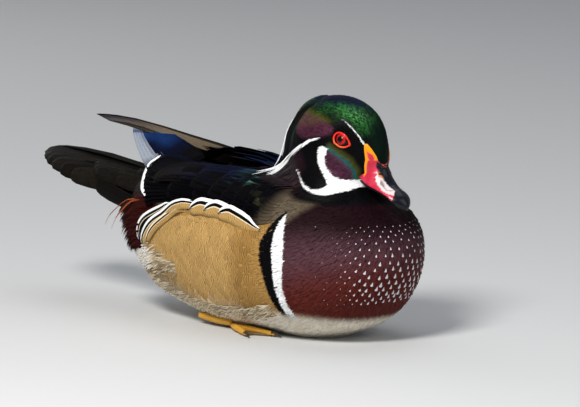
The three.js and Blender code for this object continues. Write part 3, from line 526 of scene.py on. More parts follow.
THROAT = [
    (45.2, 21.8, 134.2), (41.4, 22.1, 133.3), (40.5, 22.5, 128.8), (41.3, 23.2, 123.4), (44.4, 23.9, 119),
    (49.8, 24.4, 112.6), (52.3, 25, 108.6), (50.5, 25.9, 106.6), (46.7, 28.2, 105.2), (40.9, 29.1, 104.8),
    (33.3, 28.4, 107.1), (27.7, 26.7, 111.6), (23.3, 24.3, 115.6), (20.9, 24, 116.2), (20.4, 24, 114.6),
    (22, 24.5, 112.6), (27.4, 27.4, 109), (33.4, 29.5, 105.3), (39.6, 30.9, 103.3), (46.6, 31, 102),
    (54.1, 28.7, 101.9), (58.8, 25.7, 103.1), (65.8, 18, 105.5), (69.3, 12.7, 107.8), (72.3, 9.5, 109),
    (72.3, 9.5, 112.5), (69.9, 11.3, 112.9), (63.8, 16, 112.1), (58.9, 19.9, 113), (54.8, 21.6, 114.5),
    (49.7, 22.3, 118.7), (47.2, 22, 123.3), (47, 21.9, 127.4), (49, 21.2, 132.6),
]
EYE_PURPLE = [
    (9, 152), (22, 155), (36.5, 153.6), (46.8, 150.4), (51, 147.6), (50.5, 144), (43.8, 141.6), (36.8, 140),
    (24.3, 138.6), (14, 141.5), (9, 146.8),
]
CHEEK = [
    (48.6, 132), (54.9, 129), (60.9, 125.3), (65.2, 121.3), (67, 117.6), (65.8, 113), (60.9, 112.5),
    (56, 113.5), (51, 116), (46.5, 122), (46, 127),
]
NAPE_PATCH = [(4, 128), (22, 130), (32, 119), (28, 112), (18, 112), (0, 112)]
TEAL_LINE = [(50, 134), (57.9, 129), (64.3, 125), (68.4, 119.5), (68.6, 113)]
# The outline of the painted green glint on the crown, where light catches the crown's own dark green.
CROWN_GLINT = [
    (33, 154.5), (45, 157.8), (53, 156), (60, 152.6), (66, 148.4), (71, 143), (77, 145), (74, 153),
    (64, 160), (50, 163), (37, 161.5),
]
HEAD_END, HEAD_END_FALL = 115.6, 0.186
BAR_HEIGHTS = (16, 30, 41, 49.6, 57.4, 67, 72, 80, 87, 90)
WHITE_BACK = (36, 33.5, 32.6, 32.2, 32, 31.4, 31.5, 32.2, 34.2, 35.6)
WHITE_FRONT = (42, 39.2, 39.2, 40.2, 41, 40.9, 40.4, 38.6, 36.9, 35.6)
BLACK_BACK = (32, 27, 25.1, 23, 20.6, 20.4, 21.7, 25.8, 31, 34)
MAROON = colour(27, 11, 16, 0.1)
MAROON_SHEEN = colour(80, 56, 65, 0.22)
RUST = colour(84, 34, 29, 0.06)
OLIVE = colour(88, 78, 64, 0.1)
DARK_BACK = colour(18, 17, 16, 0.2)
CREAM = colour(222, 214, 198)
GOLD = colour(160, 124, 70)
GREY_BROWN = colour(128, 112, 88)
RUMP = colour(26, 19, 19, 0.15)
RUMP_MAROON = colour(50, 12, 11, 0.1)
MAROON_PATCH = [
    (-94, 80), (-112, 84), (-134, 82), (-137, 68), (-133, 55), (-120, 44), (-111, 48), (-117, 58),
    (-111, 66), (-103, 74),
]


def into(base, tint, share):
    """Lays a tint over colours by shares from 0 to 1."""
    return base + (tint - base) * np.asarray(share)[..., None]


def patch(flat, outline, soft):
    """1 inside an outline and 0 outside, with an edge as wide as soft. The places are flat ones."""
    inside = np.zeros(len(flat), bool)
    nearest = np.full(len(flat), 1e9)
    for first, last in zip(np.asarray(outline, float), np.roll(outline, -1, axis=0)):
        nearest = np.minimum(nearest, to_segment(flat, first, last)[0])
        crosses = (first[1] > flat[:, 1]) != (last[1] > flat[:, 1])
        rise = last[1] - first[1] if last[1] != first[1] else 1e-9
        inside ^= crosses & (flat[:, 0] < first[0] + (flat[:, 1] - first[1]) * (last[0] - first[0]) / rise)
    return ease(np.where(inside, nearest, -nearest), -soft, soft)


def stripe(places, line, widths, soft=0.35):
    """1 on a line through points, as wide as its widths say there."""
    line = np.asarray(line, float)
    shown = np.zeros(len(places))
    for k in range(len(line) - 1):
        away, share = to_segment(places, line[k], line[k + 1])
        half = 0.5 * (widths[k] + (widths[k + 1] - widths[k]) * share)
        shown = np.maximum(shown, ease(half - away, -soft, soft))
    return shown


def under_throat(places):
    """The side view of the throat, opened out so that it also holds the underside of the chin."""
    places = np.asarray(places, float)
    return np.stack([places[:, 0], places[:, 2] + 0.4 * np.maximum(0, 24 - places[:, 1])], 1)


def layered(base, *layers):
    """Colours laid over a base one after another, each with its share at each place."""
    for tint, share in layers:
        base = into(base, tint, share)
    return base


def head_marks(places, unevenness):
    """Colour and gloss of the head at places on its left side."""
    x, _, z = places.T
    flat = places[:, [0, 2]]
    streaks = 0.12 + 0.88 * ease(unevenness, -0.5, 0.9)
    return layered(
        GREEN_BLACK,
        (INK, ease(66 - x - 0.2 * (z - 130), -16, -4)),
        (CROWN_BLUE, ease(z, 156, 165) * 0.8),
        (INK, ease(132 - z, 0, 8) * ease(46 - x, 0, 5)),
        (INK, ease(np.hypot(x - 68, 0.8 * (z - 133)), 14, 5) * 0.85),
        # Painted glint: bright green over the crown, strong on some feathers and weak on others.
        (GREEN_GLINT, patch(flat, CROWN_GLINT, 3.0) * streaks),
        (GREEN_GLINT, 0.3 * ease(z, 148, 156) * ease(165 - z, 0, 5) * streaks),
        (GOLD_GREEN, patch(flat, EYE_PURPLE, 4.0) * ease(z - 0.2 * x, 138, 144) * 0.85),
        (MAGENTA, patch(flat - (0, -1.0), EYE_PURPLE, 1.8) * (0.45 + 0.55 * streaks)),
        (GOLD_GREEN, stripe(flat, TEAL_LINE, [4, 6, 6, 5, 4], 2.5) * 0.45),
        (TEAL, stripe(flat - (-1.6, -1.2), TEAL_LINE, [2.5, 3.5, 4, 3.5, 2.5], 1.5)),
        (CHEEK_PURPLE, patch(flat, CHEEK, 1.2) * (0.5 + 0.5 * streaks)),
        (NAPE_PURPLE, patch(flat, NAPE_PATCH, 3.0)),
        (WHITE, patch(under_throat(places), under_throat(THROAT), 0.3)),
        (WHITE, stripe(places, BROW_LINE, BROW_WIDTHS, 0.25)),
        (WHITE, stripe(places, CREST_LINE, CREST_WIDTHS, 0.3)),
    )


def body_marks(places):
    """Colour and gloss of the neck and body at places on the left side."""
    x, y, z = places.T
    edges = (WHITE_FRONT, WHITE_BACK, BLACK_BACK)
    white_front, white_back, black_back = (np.interp(z, BAR_HEIGHTS, edge) for edge in edges)
    low = ease(z, 16, 24)
    ahead = ease(x - white_front, -0.3, 0.3)
    shoulder = ease(z - 84 - 0.93 * (x - 38), -5, 5) * ease(61 - x, 0, 9)
    side = ease(y, 20, 30) * ease(z, 14, 22)
    sheen = ease(z - 0.2 * (x - 60), 34, 66) * 0.85
    breast = layered(RUST, (MAROON_SHEEN, sheen), (MAROON, ease(z, 60, 86)))
    collar = ease(z, 93, 98) * ease(np.hypot((x - 37) / 44, y / 36), 1.15, 0.95)
    return layered(
        CREAM,
        (GOLD, low),
        (GREY_BROWN, low * ease(-x, 70, 110) * 0.7),
        (into(OLIVE, DARK_BACK, ease(-x, -28, -14)), ease(z + 0.25 * y, 92, 99)),
        (RUMP, ease(-x + 0.35 * z, 136, 146)),
        (RUMP_MAROON, patch(places[:, [0, 2]], MAROON_PATCH, 1.5) * ease(y, 12, 20)),
        (breast, ahead * ease(z + 0.1 * x, 20, 28)),
        (OLIVE, shoulder * ahead),
        (INK, ease(x - black_back, -0.4, 0.4) * (1 - ahead) * side * ease(91 - z, -0.4, 0.4)),
        (WHITE, ease(x - white_back, -0.3, 0.3) * (1 - ahead) * side * ease(89 - z, -0.3, 0.3)),
        (into(NAPE_PURPLE, INK, ease(x, 15, 40)), collar),
        (WHITE, patch(under_throat(places), under_throat(THROAT), 0.3) * ease(z, 95, 99)),
    )


def over_neck(places):
    """How far places lie over the line that ends the head, which falls towards the bill."""
    return places[:, 2] + HEAD_END_FALL * places[:, 0] - HEAD_END


def marks(places, uneven, shade):
    """Colour and gloss of the plumage anywhere on the bird. Two numbers from -1 to 1 at each place make
    one feather differ a little from the next."""
    places = np.array(places, float)
    places[:, 1] = np.abs(places[:, 1])
    on_head = ease(over_neck(places), -1.5, 0.5) * ease(places[:, 0], -12, -4)
    found = into(body_marks(places), head_marks(places, uneven), on_head)
    found[:, :3] *= 1 + 0.16 * shade[:, None]
    return np.clip(found, 0, 1)


# The lie of the plumage: directions at points of the left side, from the bill back over the crown, down the
# neck and breast and back along the body. Between the points they are blended.
LIE = [
    ((80, 0, 132), (-0.4, 0, 0.9)), ((78, 5, 147), (-0.6, 0, 0.75)), ((66, 0, 163), (-0.95, 0, 0.3)),
    ((50, 0, 167), (-1, 0, 0)), ((30, 0, 163), (-0.95, 0, -0.3)), ((12, 0, 152), (-0.5, 0, -0.85)),
    ((4, 0, 135), (-0.15, 0, -1)), ((0, 0, 118), (-0.5, 0, -0.85)), ((74, 12, 128), (-1, 0.1, 0.25)),
    ((64, 17, 150), (-0.85, 0, 0.5)), ((50, 18, 154), (-0.98, 0, 0.15)), ((60, 19, 126), (-0.95, 0, -0.35)),
    ((40, 23, 142), (-0.98, 0, -0.2)), ((40, 23, 122), (-0.8, 0, -0.6)), ((22, 20, 140), (-0.85, 0, -0.5)),
    ((18, 21, 122), (-0.55, 0, -0.85)), ((64, 12, 104), (-1, 0, -0.15)),
    ((48, 22, 104), (-0.85, 0.2, -0.45)), ((30, 31, 104), (-0.6, 0.3, -0.75)),
    ((75, 16, 100), (0.1, 0.3, -0.9)), ((10, 26, 106), (-0.8, 0.2, -0.5)), ((92, 0, 94), (0.6, 0, -0.75)),
    ((104, 0, 66), (0, 0, -1)), ((96, 0, 30), (-0.6, 0, -0.8)), ((72, 0, 6), (-1, 0, -0.2)),
    ((76, 40, 80), (-0.45, 0.3, -0.85)), ((74, 44, 45), (-0.75, 0.2, -0.65)),
    ((45, 56, 62), (-0.9, 0, -0.35)), ((55, 40, 97), (-0.6, 0.4, -0.6)), ((0, 60, 60), (-1, 0, 0)),
    ((-60, 54, 60), (-1, 0, 0.1)), ((0, 0, 107), (-1, 0, 0)), ((-80, 0, 105), (-1, 0, 0)),
    ((-135, 0, 95), (-1, 0, 0.1)), ((20, 0, 0), (-1, 0, 0)), ((-80, 0, 2), (-1, 0, 0.1)),
    ((-130, 0, 35), (-0.8, 0, 0.55)), ((0, 50, 20), (-1, 0, 0.05)), ((-80, 45, 30), (-1, 0, 0.2)),
    ((-125, 35, 70), (-0.9, 0, -0.3)),
]
lie_places = np.array([sided(place, side) for place, _ in LIE for side in (1, -1)])
lie_ways = unit(np.array([sided(way, side) for _, way in LIE for side in (1, -1)]))


def lie_at(places, normals):
    """The way that the plumage points at places on the skin, along the skin."""
    found = np.zeros_like(places)
    for place, way in zip(lie_places, lie_ways):
        found += way / (np.linalg.norm(places - place, axis=1, keepdims=True) ** 3 + 30)
    return unit(found - normals * (found * normals).sum(1, keepdims=True))


def on_skin(places):
    """The nearest places on the skin and the normals there."""
    hits = [skin_tree.find_nearest(place) for place in places.tolist()]
    return np.array([hit[0] for hit in hits]), np.array([hit[1] for hit in hits])


def laid(roots, normals, ahead, lengths, shares, sink, lift):
    """Lines that run over the skin from roots: places and normals at shares of each length. They start
    below the skin by sink and end above it by lift."""
    lengths, sink, lift = (np.broadcast_to(value, len(roots)) for value in (lengths, sink, lift))
    place, normal, way = roots.copy(), normals.copy(), ahead.copy()
    lines, overs = [], []
    for k, share in enumerate(shares):
        if k:
            stride = (lengths * (share - shares[k - 1]))[:, None]
            place, hit_normal = on_skin(place + way * stride)
            normal = unit(0.6 * normal + 0.4 * hit_normal)
            way = unit(way - normal * (way * normal).sum(1, keepdims=True))
        height = -sink + (sink + lift) * share**0.7
        lines.append(place + normal * height[:, None])
        overs.append(normal)
    return np.stack(lines, 1), np.stack(overs, 1)


def flat_chart(roots, middle_height):
    """Each root's place on the skin opened out flat: its length along the bird and its angle round it."""
    angle = np.arctan2(roots[:, 1], roots[:, 2] - middle_height) / (2 * np.pi) + 0.5
    along = (roots[:, 0] - roots[:, 0].min()) / max(np.ptp(roots[:, 0]), 1e-6)
    return 0.01 + 0.975 * np.stack([along, angle], 1)


def quilt_chart(count, grid_u, grid_v):
    """A square of the map for each of a number of large feathers, upper face beside under face."""
    side = math.ceil(math.sqrt(count))
    cell = np.stack([np.arange(count) % side, np.arange(count) // side], 1)[:, None, None] / side
    halves = (np.stack([0.04 + 0.92 * grid_u, start + 0.43 * grid_v], -1) for start in (0.03, 0.54))
    return [cell + half / side for half in halves]


def quads(*corners):
    return np.stack(corners, -1).reshape(-1, 4)


TUFT_PATCH = 0.003
DARKER = (0.8, 0.8, 0.8, 0.6)


def vanes(
    name, lines, overs, halves, colours, finish, columns, cup, thick=0.0, chart=None, ridge=0.0, under=None
):
    """One mesh of many vanes. Each has a centre line of places, a normal and a half width at each place,
    and columns across it from -1 to 1. A thick vane is closed and gets a square of the map of its own;
    the others are single sheets whose patch of the map lies at their root."""
    columns = np.asarray(columns, float)
    shape = (*lines.shape[:2], len(columns))
    ahead = np.gradient(lines, axis=1)
    across = unit(np.cross(overs, ahead))
    over = unit(np.cross(ahead, across))[:, :, None]
    drop = cup * columns**2 * halves[..., None] - ridge * (np.abs(columns) < 1e-6)
    upper = lines[:, :, None] + across[:, :, None] * (halves[..., None] * columns)[..., None]
    upper = upper - over * drop[..., None]
    index = np.arange(np.prod(shape)).reshape(shape)
    faces = [quads(index[:, :-1, :-1], index[:, 1:, :-1], index[:, 1:, 1:], index[:, :-1, 1:])]
    colours = np.broadcast_to(colours, (*shape, 4))
    travelled = np.linalg.norm(np.diff(lines, axis=1), axis=-1).cumsum(1)
    travelled = np.concatenate([np.zeros((len(lines), 1)), travelled], 1)
    vane_map = np.stack(np.broadcast_arrays(travelled[..., None], halves[..., None] * columns), -1)
    grid_u = (travelled / travelled[:, -1:])[..., None] + 0 * columns
    grid_v = 0.5 + 0.5 * np.broadcast_to(columns, grid_u.shape)
    if chart is None:
        bake_maps = quilt_chart(len(lines), grid_u, grid_v)
    else:
        bake_maps = 2 * [chart[:, None, None] + TUFT_PATCH * np.stack([grid_u - 0.5, grid_v - 0.5], -1)]
    grids, tints = [upper], [colours]
    smooth_count = len(faces[0])
    if thick:
        grids.append(upper - over * thick)
        below = colours * DARKER if under is None else under
        tints.append(np.broadcast_to(below, colours.shape))
        low = index + index.size
        faces.append(quads(low[:, :-1, :-1], low[:, :-1, 1:], low[:, 1:, 1:], low[:, 1:, :-1]))
        smooth_count += len(faces[1])
        for rim in (np.s_[:, :, 0], np.s_[:, ::-1, -1], np.s_[:, 0, ::-1], np.s_[:, -1, :]):
            edge, under_edge = index[rim], low[rim]
            faces.append(quads(edge[:, :-1], under_edge[:, :-1], under_edge[:, 1:], edge[:, 1:]))
    made = mesh_object(name, np.concatenate(grids).reshape(-1, 3), np.concatenate(faces), finish)
    mesh = made.data
    mesh.polygons.foreach_set("use_smooth", np.arange(len(mesh.polygons)) < smooth_count)
    corners = read(mesh.loops, "vertex_index", 1, np.int32)[:, 0]
    for map_name, maps in (("OFBake", bake_maps), ("Vane", [vane_map] * len(grids))):
        flat = np.concatenate(maps[: len(grids)]).reshape(-1, 2)
        mesh.uv_layers.new(name=map_name).uv.foreach_set("vector", flat[corners].astype(np.float32).ravel())
    mesh.uv_layers.active = mesh.uv_layers["OFBake"]
    paint(mesh, np.concatenate(tints))
    return made


def paint(mesh, colours):
    """Keeps a colour and a share of gloss at each corner place of a mesh."""
    layer = mesh.attributes.new("Plumage", "FLOAT_COLOR", "POINT")
    layer.data.foreach_set("color", np.ascontiguousarray(colours, np.float32).ravel())


def plumage_finish(name, roughness, barb_gap=0.0, barb_depth=0.05, mottle=0.25, grain=900.0, shine=0.04):
    """Feathers: their own colour with a mottle, a metal gloss where they shine, and the barbs as a bump."""
    finish = Finish(name)
    shown = finish.painted()
    speckle = finish.noise(grain, 2.0)
    grey = speckle * mottle + (1 - 0.5 * mottle)
    grey = finish.node("CombineColor", {}, {0: grey, 1: grey, 2: grey})[0]
    relief, strength = speckle, 0.5
    if barb_gap:
        along, aside = finish.on_vane()
        barbs = ((along - abs(aside) * 0.8) * (2 * math.pi / barb_gap)).wave()
        relief, strength = barbs + speckle * 0.6, 0.6
    finish.set(Base_Color=finish.tinted(1.0, shown[0], grey), Metallic=shown[3])
    finish.set(Roughness=roughness + speckle * 0.12 - 0.06, Specular_IOR_Level=shine)
    return finish.set(Normal=finish.bump(relief, strength, barb_depth))


def carried(made, slot, *nodes):
    """A piece that rides on the body and stands for the named solids; its slot is not used."""
    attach(made, "root")
    if nodes:
        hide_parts(*nodes)
    return made


skin_finish = plumage_finish("downy_skin", 0.8, barb_depth=0.2)
skin = mesh_object("skin", skin_places, skin_faces, skin_finish)
uneven, shade = np.random.default_rng(3).uniform(-1, 1, (2, len(skin_places)))
paint(skin.data, marks(skin_places, uneven, shade))
carried(skin, "torso", "torso", "breast", "neck", "head")

# The small feathers of the head: short narrow tufts that lie close, shortest round the eyes and the bill.
HEAD_SPACING = 0.58
TUFT_LENGTH = 3.9
TUFT_HALF = 0.44
LOBE_OUTLINE = [
    (73.2, 110), (74.6, 117.5), (75.4, 125.5), (74.4, 136.5), (76.6, 135), (81.6, 127.6), (82.1, 125),
    (83.6, 122.5), (84.4, 119), (80, 104), (72, 106),
]
TRIES, QUICK_TRIES = 4.5, 1.5
face_middles = corner_places.mean(1)
face_areas = 0.5 * np.linalg.norm(crossing, axis=1)


def scattered(seed, spacing, wanted):
    """Roots over the skin where wanted is 1, no two closer than the spacing, and the normals there."""
    draws = np.random.default_rng(seed)
    share = face_areas * wanted(face_middles)
    count = int(TRIES * share.sum() / spacing**2)
    picked = draws.choice(len(share), count, p=share / share.sum())
    u, v = draws.random((2, count, 1))
    weights = [(1 - u) * (1 - v), u * (1 - v), u * v, (1 - u) * v]
    places = sum(w * skin_places[skin_faces[picked, k]] for k, w in enumerate(weights))
    normals = unit(sum(w * skin_normals[skin_faces[picked, k]] for k, w in enumerate(weights)))
    cells, kept = {}, []
    steps = [(i, j, k) for i in (-1, 0, 1) for j in (-1, 0, 1) for k in (-1, 0, 1)]
    for number, (x, y, z) in enumerate(places.tolist()):
        a, b, c = int(x // spacing), int(y // spacing), int(z // spacing)
        crowded = (
            (px - x) ** 2 + (py - y) ** 2 + (pz - z) ** 2 < spacing * spacing
            for i, j, k in steps
            for px, py, pz in cells.get((a + i, b + j, c + k), ())
        )
        if not any(crowded):
            cells.setdefault((a, b, c), []).append((x, y, z))
            kept.append(number)
    return places[kept], normals[kept]


def mirrored(places):
    return np.stack([places[:, 0], np.abs(places[:, 1]), places[:, 2]], 1)


def from_eye(places):
    """Distance from the line that the eye on that side looks along."""
    reach = mirrored(places) - EYE
    return np.linalg.norm(reach - (reach @ EYE_LOOK)[:, None] * EYE_LOOK, axis=1)


def headness(places):
    """1 on the head and 0 below it. The fine plumage reaches down to the lower edge of the white throat."""
    x = places[:, 0]
    lower = 9 * ease(x, 10, 22) * ease(72 - x, 0, 8)
    return ease(over_neck(places) + lower, -0.5, 0.5) * (x > -9)


def bare_face(places):
    """1 under the bill's lobes and inside the lids, where no feather grows."""
    lobes = patch(mirrored(places)[:, [0, 2]], LOBE_OUTLINE, 0.01)
    lobes = lobes * (np.abs(places[:, 1]) > np.clip(0.9 * (places[:, 2] - 121.6), 0, 1.8))
    below = (places[:, 0] > 73) & (places[:, 2] < 125 - 1.5 * (places[:, 0] - 73))
    corner = np.linalg.norm(mirrored(places) - (64, 17, 136.5), axis=1) < 1.6
    return np.maximum(np.maximum(lobes, below), (from_eye(places) < 6.1) | corner)


SHEET = [-1, 0, 1]


def tufts(name, slot, seed, spacing, wanted, length, half, finish, shares, sink, lift, middle):
    """A coat piece of small feathers that lie over the skin. Length and half width may vary by place."""
    roots, normals = scattered(seed, spacing, wanted)
    draws = np.random.default_rng(seed + 1)
    count, stations = len(roots), len(shares)
    lengths = (length(roots) if callable(length) else length) * draws.uniform(0.8, 1.15, count)
    halves = (half(roots) if callable(half) else half) * draws.uniform(0.8, 1.2, count)
    ahead = lie_at(roots, normals)
    ahead = unit(ahead + np.cross(normals, ahead) * draws.normal(0, 0.09, (count, 1)))
    lift = lift(roots) * draws.uniform(0.7, 1.3, count)
    lines, overs = laid(roots, normals, ahead, lengths, shares, sink, lift)
    seen = lines[:, np.maximum(np.arange(stations), stations // 2)]
    uneven, shade = np.repeat(draws.uniform(-1, 1, (2, count)), stations, axis=1)
    tints = marks(seen.reshape(-1, 3), uneven, shade).reshape(count, stations, 1, 4)
    halves = halves[:, None] * np.interp(shares, (0, 0.3, 0.65, 0.9, 1), (0.55, 0.9, 1, 0.72, 0.2))
    chart = flat_chart(roots, middle)
    return carried(vanes(name, lines, overs, halves, tints, finish, SHEET, 0.25, chart=chart), slot)


def head_length(places):
    from_bill = np.hypot(places[:, 0] - 78, places[:, 2] - 124)
    near_eye = 1.3 + 0.42 * np.maximum(0, from_eye(places) - 6.3)
    return np.minimum(TUFT_LENGTH, near_eye) * (0.45 + 0.55 * ease(from_bill, 8, 20))


head_finish = plumage_finish("head_feathers", 0.42, barb_depth=0.06, mottle=0.3, grain=1400)
for side in (1, -1):
    tufts(
        on_side("head_feathers", side),
        "head",
        20 + side,
        HEAD_SPACING,
        lambda places: headness(places) * (1 - bare_face(places)) * (places[:, 1] * side > 0),
        head_length,
        lambda places: TUFT_HALF * (0.55 + 0.45 * ease(from_eye(places), 6, 12)),
        head_finish,
        [0, 0.45, 0.8, 1],
        0.15,
        lambda places: 0.55 * coat_depth(places) / 0.85,
        130,
    )

# The small feathers of the body: neck, breast, mantle, belly, rump and the front of the flanks. They are
# broader than the head's, and those of the breast are sleek.
SHOULDER_HEIGHT = 96


def under_wing(x, y, z):
    """1 where the folded wing's long feathers cover the body."""
    return ease(-x, 8, 14) * ease(110 + x, 0, 6) * ease(y, 13, 18) * ease(z, 80, 84)


def under_flank(x, y, z):
    """1 where the long feathers of the flank cover the body."""
    return ease(14 - x, 0, 4) * ease(104 + x, 0, 6) * ease(y, 30, 34) * ease(z, 26, 30) * ease(76 - z, 0, 4)


def under_crest(x, y, z):
    return (x < 4) & (x > -38) & (y < 9) & (z > 104)


def near_bars(x, y, z):
    """True by the white and the black bar, where small feathers give the bars their clean edges."""
    return (x > 14) & (x < 50) & (y > 16) & (z > 12)


def body_region(places, inside):
    """1 where small feathers of one kind grow: inside tells it by place, height and nearness to the bars."""
    place = mirrored(places).T
    grown = (1 - headness(places)) * inside(place[0], place[2] > SHOULDER_HEIGHT, near_bars(*place))
    return grown * (1 - under_wing(*place)) * (1 - under_flank(*place)) * ~under_crest(*place)


body_finish = plumage_finish("body_feathers", 0.52, barb_depth=0.1, mottle=0.3, grain=900)
BODY_SHARES = [0, 0.35, 0.65, 0.88, 1]
COAT_PARTS = [
    ("bar_feathers", "breast", 39, 0.88, 5.2, 0.55, lambda x, high, bars: bars & ~high, 1.3),
    ("neck_feathers", "neck", 31, 0.9, 5.6, 0.68, lambda x, high, bars: high & (x > 4), 0.8),
    ("breast_feathers", "breast", 33, 1.18, 7.0, 1.0, lambda x, high, bars: ~high & (x > 18) & ~bars, 1.5),
    ("body_feathers", "torso", 35, 1.55, 9.0, 1.45, lambda x, high, bars: ~high & (x <= 18) & ~bars, 1.6),
    ("mantle_feathers", "torso", 37, 1.35, 8.5, 1.2, lambda x, high, bars: high & (x <= 4), 1.5),
]
for name, slot, seed, spacing, length, half, inside, rise in COAT_PARTS:
    tufts(
        name,
        slot,
        seed,
        spacing,
        lambda places: body_region(places, inside),
        length,
        half,
        body_finish,
        BODY_SHARES,
        -0.3,
        lambda places: rise * np.minimum(1, coat_depth(places) / 1.7),
        55,
    )

# White spots near the tips of the breast feathers: small triangles in staggered rows, from specks high on
# the breast to the largest low in front.
SPOT_WHITE = colour(206, 202, 208)
SPOT_HEIGHTS = np.arange(24.0, 95, 5.1)
SPOT_TURNS = np.arange(-71.0, 72, 6.8)
SPOT_STAGGER = 3.4
SPOT_MIDDLE, SPOT_REACH = 44, 60
spot_roots = []
for row, height in enumerate(SPOT_HEIGHTS):
    turns = np.radians(SPOT_TURNS + (SPOT_STAGGER if row % 2 else 0))
    places = SPOT_MIDDLE + SPOT_REACH * np.cos(turns), SPOT_REACH * np.sin(turns), height + 0 * turns
    spot_roots.append(np.stack(places, 1))
draws = np.random.default_rng(41)
spot_roots = np.concatenate(spot_roots)
ahead_of = spot_roots[:, 0] - 0.28 * np.maximum(0, spot_roots[:, 2] - 50)
spot_roots = spot_roots[draws.random(len(spot_roots)) < 0.12 + 0.88 * ease(ahead_of, 66, 84)]
spot_roots, spot_normals = on_skin(spot_roots + draws.normal(0, 0.6, spot_roots.shape))
share = ease(100 - spot_roots[:, 2], 0, 72) * ease(spot_roots[:, 0], 75, 99)
sizes = (0.2 + 1.38 * share) * draws.uniform(0.8, 1.15, len(spot_roots))
ahead = lie_at(spot_roots, spot_normals)
lines, overs = laid(spot_roots, spot_normals, ahead, 2.7 * sizes, [0, 0.5, 0.85, 1], -1.55, 1.9)
halves = sizes[:, None] * np.array([0.1, 0.6, 1.0, 0.35])
chart = flat_chart(spot_roots, 55)
spots = vanes("breast_spots", lines, overs, halves, SPOT_WHITE, body_finish, SHEET, 0.1, chart=chart)
carried(spots, "breast")

# The folded wings. Tiers of feathers lie along the body from the shoulder back, each over the roots of
# the next: small olive ones, scapulars, tertials, coverts, and the secondaries with their white ends.
BLACK_BLUE = colour(5, 5, 8)
BLUE_SHEEN = colour(16, 34, 84, 0.45)
GLINT_TEAL = colour(84, 140, 124, 0.4)
GLINT_LIME = colour(64, 66, 44, 0.3)
TERTIAL_BROWN = colour(50, 44, 40, 0.15)
SILVER = colour(150, 158, 172, 0.15)
STEEL_BLUE = colour(44, 86, 160, 0.5)
BLADE_UNDER = colour(126, 112, 94, 0.05)
WING_OLIVE = OLIVE * (0.6, 0.6, 0.6, 1)
GLINT_REACH = 3
SHOULDER_GLINTS = [
    ((-31.7, 107), GLINT_TEAL), ((-22, 108), GLINT_TEAL), ((-11.5, 105), GLINT_TEAL),
    ((10, 96), GLINT_LIME), ((18.6, 93.6), GLINT_LIME), ((3, 99.5), GLINT_LIME),
]
PANEL_END = [
    (-119, 15, 108.9), (-122.5, 17.5, 106), (-125.5, 20.8, 102.4), (-125, 26.2, 94), (-119.5, 31.5, 87.3),
    (-111, 36.3, 82.3),
]
FEATHER_SHARES = np.array([0, 0.25, 0.5, 0.74, 0.9, 0.965, 1])
FEATHER_SWELL = np.array([0.6, 0.88, 1, 0.97, 0.82, 0.6, 0.2])
FEATHER_COLUMNS = [-1, -0.55, -0.08, 0, 0.08, 0.55, 1]


def lying(roots, tips, shares, to_girth, to_lift):
    """Lines that lie along the left side from roots to tips, given as x and a measure across the body
    that becomes a girth angle, and the normals along them."""
    shares = np.asarray(shares)[None, :]
    x = blend(roots[:, :1], tips[:, :1], shares)
    measure = blend(roots[:, 1:], tips[:, 1:], shares)
    girth = to_girth(x, measure)
    lift = to_lift(x, measure, shares)
    lines = body.at(x, girth, lift)
    return lines, unit(body.at(x, girth, lift + 1) - lines)


def one_side(name, side, slot, lines, overs, halves, colours, finish, columns, *nodes, **form):
    """A piece of vanes whose lines and colours are given for the left side."""
    columns = np.asarray(columns, float)
    if side < 0:
        columns = -columns[::-1]
        if colours.ndim > 1:
            colours = colours[:, :, ::-1]
    lines, overs = sided(lines, side), sided(overs, side)
    made = vanes(on_side(name, side), lines, overs, halves, colours, finish, columns, **form)
    return carried(made, slot, *nodes)


def row_of(count, high, low):
    """Places spread evenly from a high one to a low one."""
    share = (np.arange(count) / max(count - 1, 1))[:, None]
    return blend(np.array([high], float), np.array([low], float), share)


def over_wing(side, extra):
    """A lift over the wing's own form, which rises by extra from root to tip."""

    def lift(x, share, along):
        return wing_form(x, share, side) - 1.3 + (1.3 + extra) * along

    return lift


WING_ROWS = [
    ("secondaries", 12, (-58, 0.1), (-66, 0.7), (-112, 0.08), (-106, 0.76), 9.5, 0.2),
    ("tertials", 6, (-38, 0.02), (-46, 0.34), (-96, 0.0), (-104, 0.3), 9.5, 1.5),
    ("greater", 10, (-34, 0.3), (-38, 0.7), (-84, 0.28), (-80, 0.7), 8.4, 0.5),
    ("median", 9, (-16, 0.3), (-18, 0.74), (-58, 0.3), (-52, 0.7), 7.6, 0.4),
    ("scapulars", 6, (-16, 0.02), (-20, 0.5), (-66, 0.03), (-62, 0.46), 8.6, 0.8),
    ("scapulars", 7, (2, 0.02), (-2, 0.6), (-40, 0.03), (-40, 0.56), 8.0, 0.7),
    ("shoulder", 11, (2, 0.3), (0, 0.8), (-26, 0.3), (-26, 0.74), 5.0, 0.5),
    ("shoulder", 16, (10, 0.02), (10, 0.86), (-14, 0.03), (-13, 0.8), 3.8, 0.5),
    ("shoulder", 17, (18, 0.03), (18, 0.9), (-2, 0.04), (-1, 0.88), 3.3, 0.45),
    ("shoulder", 17, (25, 0.04), (25, 0.94), (8, 0.05), (8, 0.94), 3.0, 0.4),
    ("shoulder", 16, (31, 0.06), (30, 0.96), (16, 0.06), (15, 0.95), 2.8, 0.3),
]


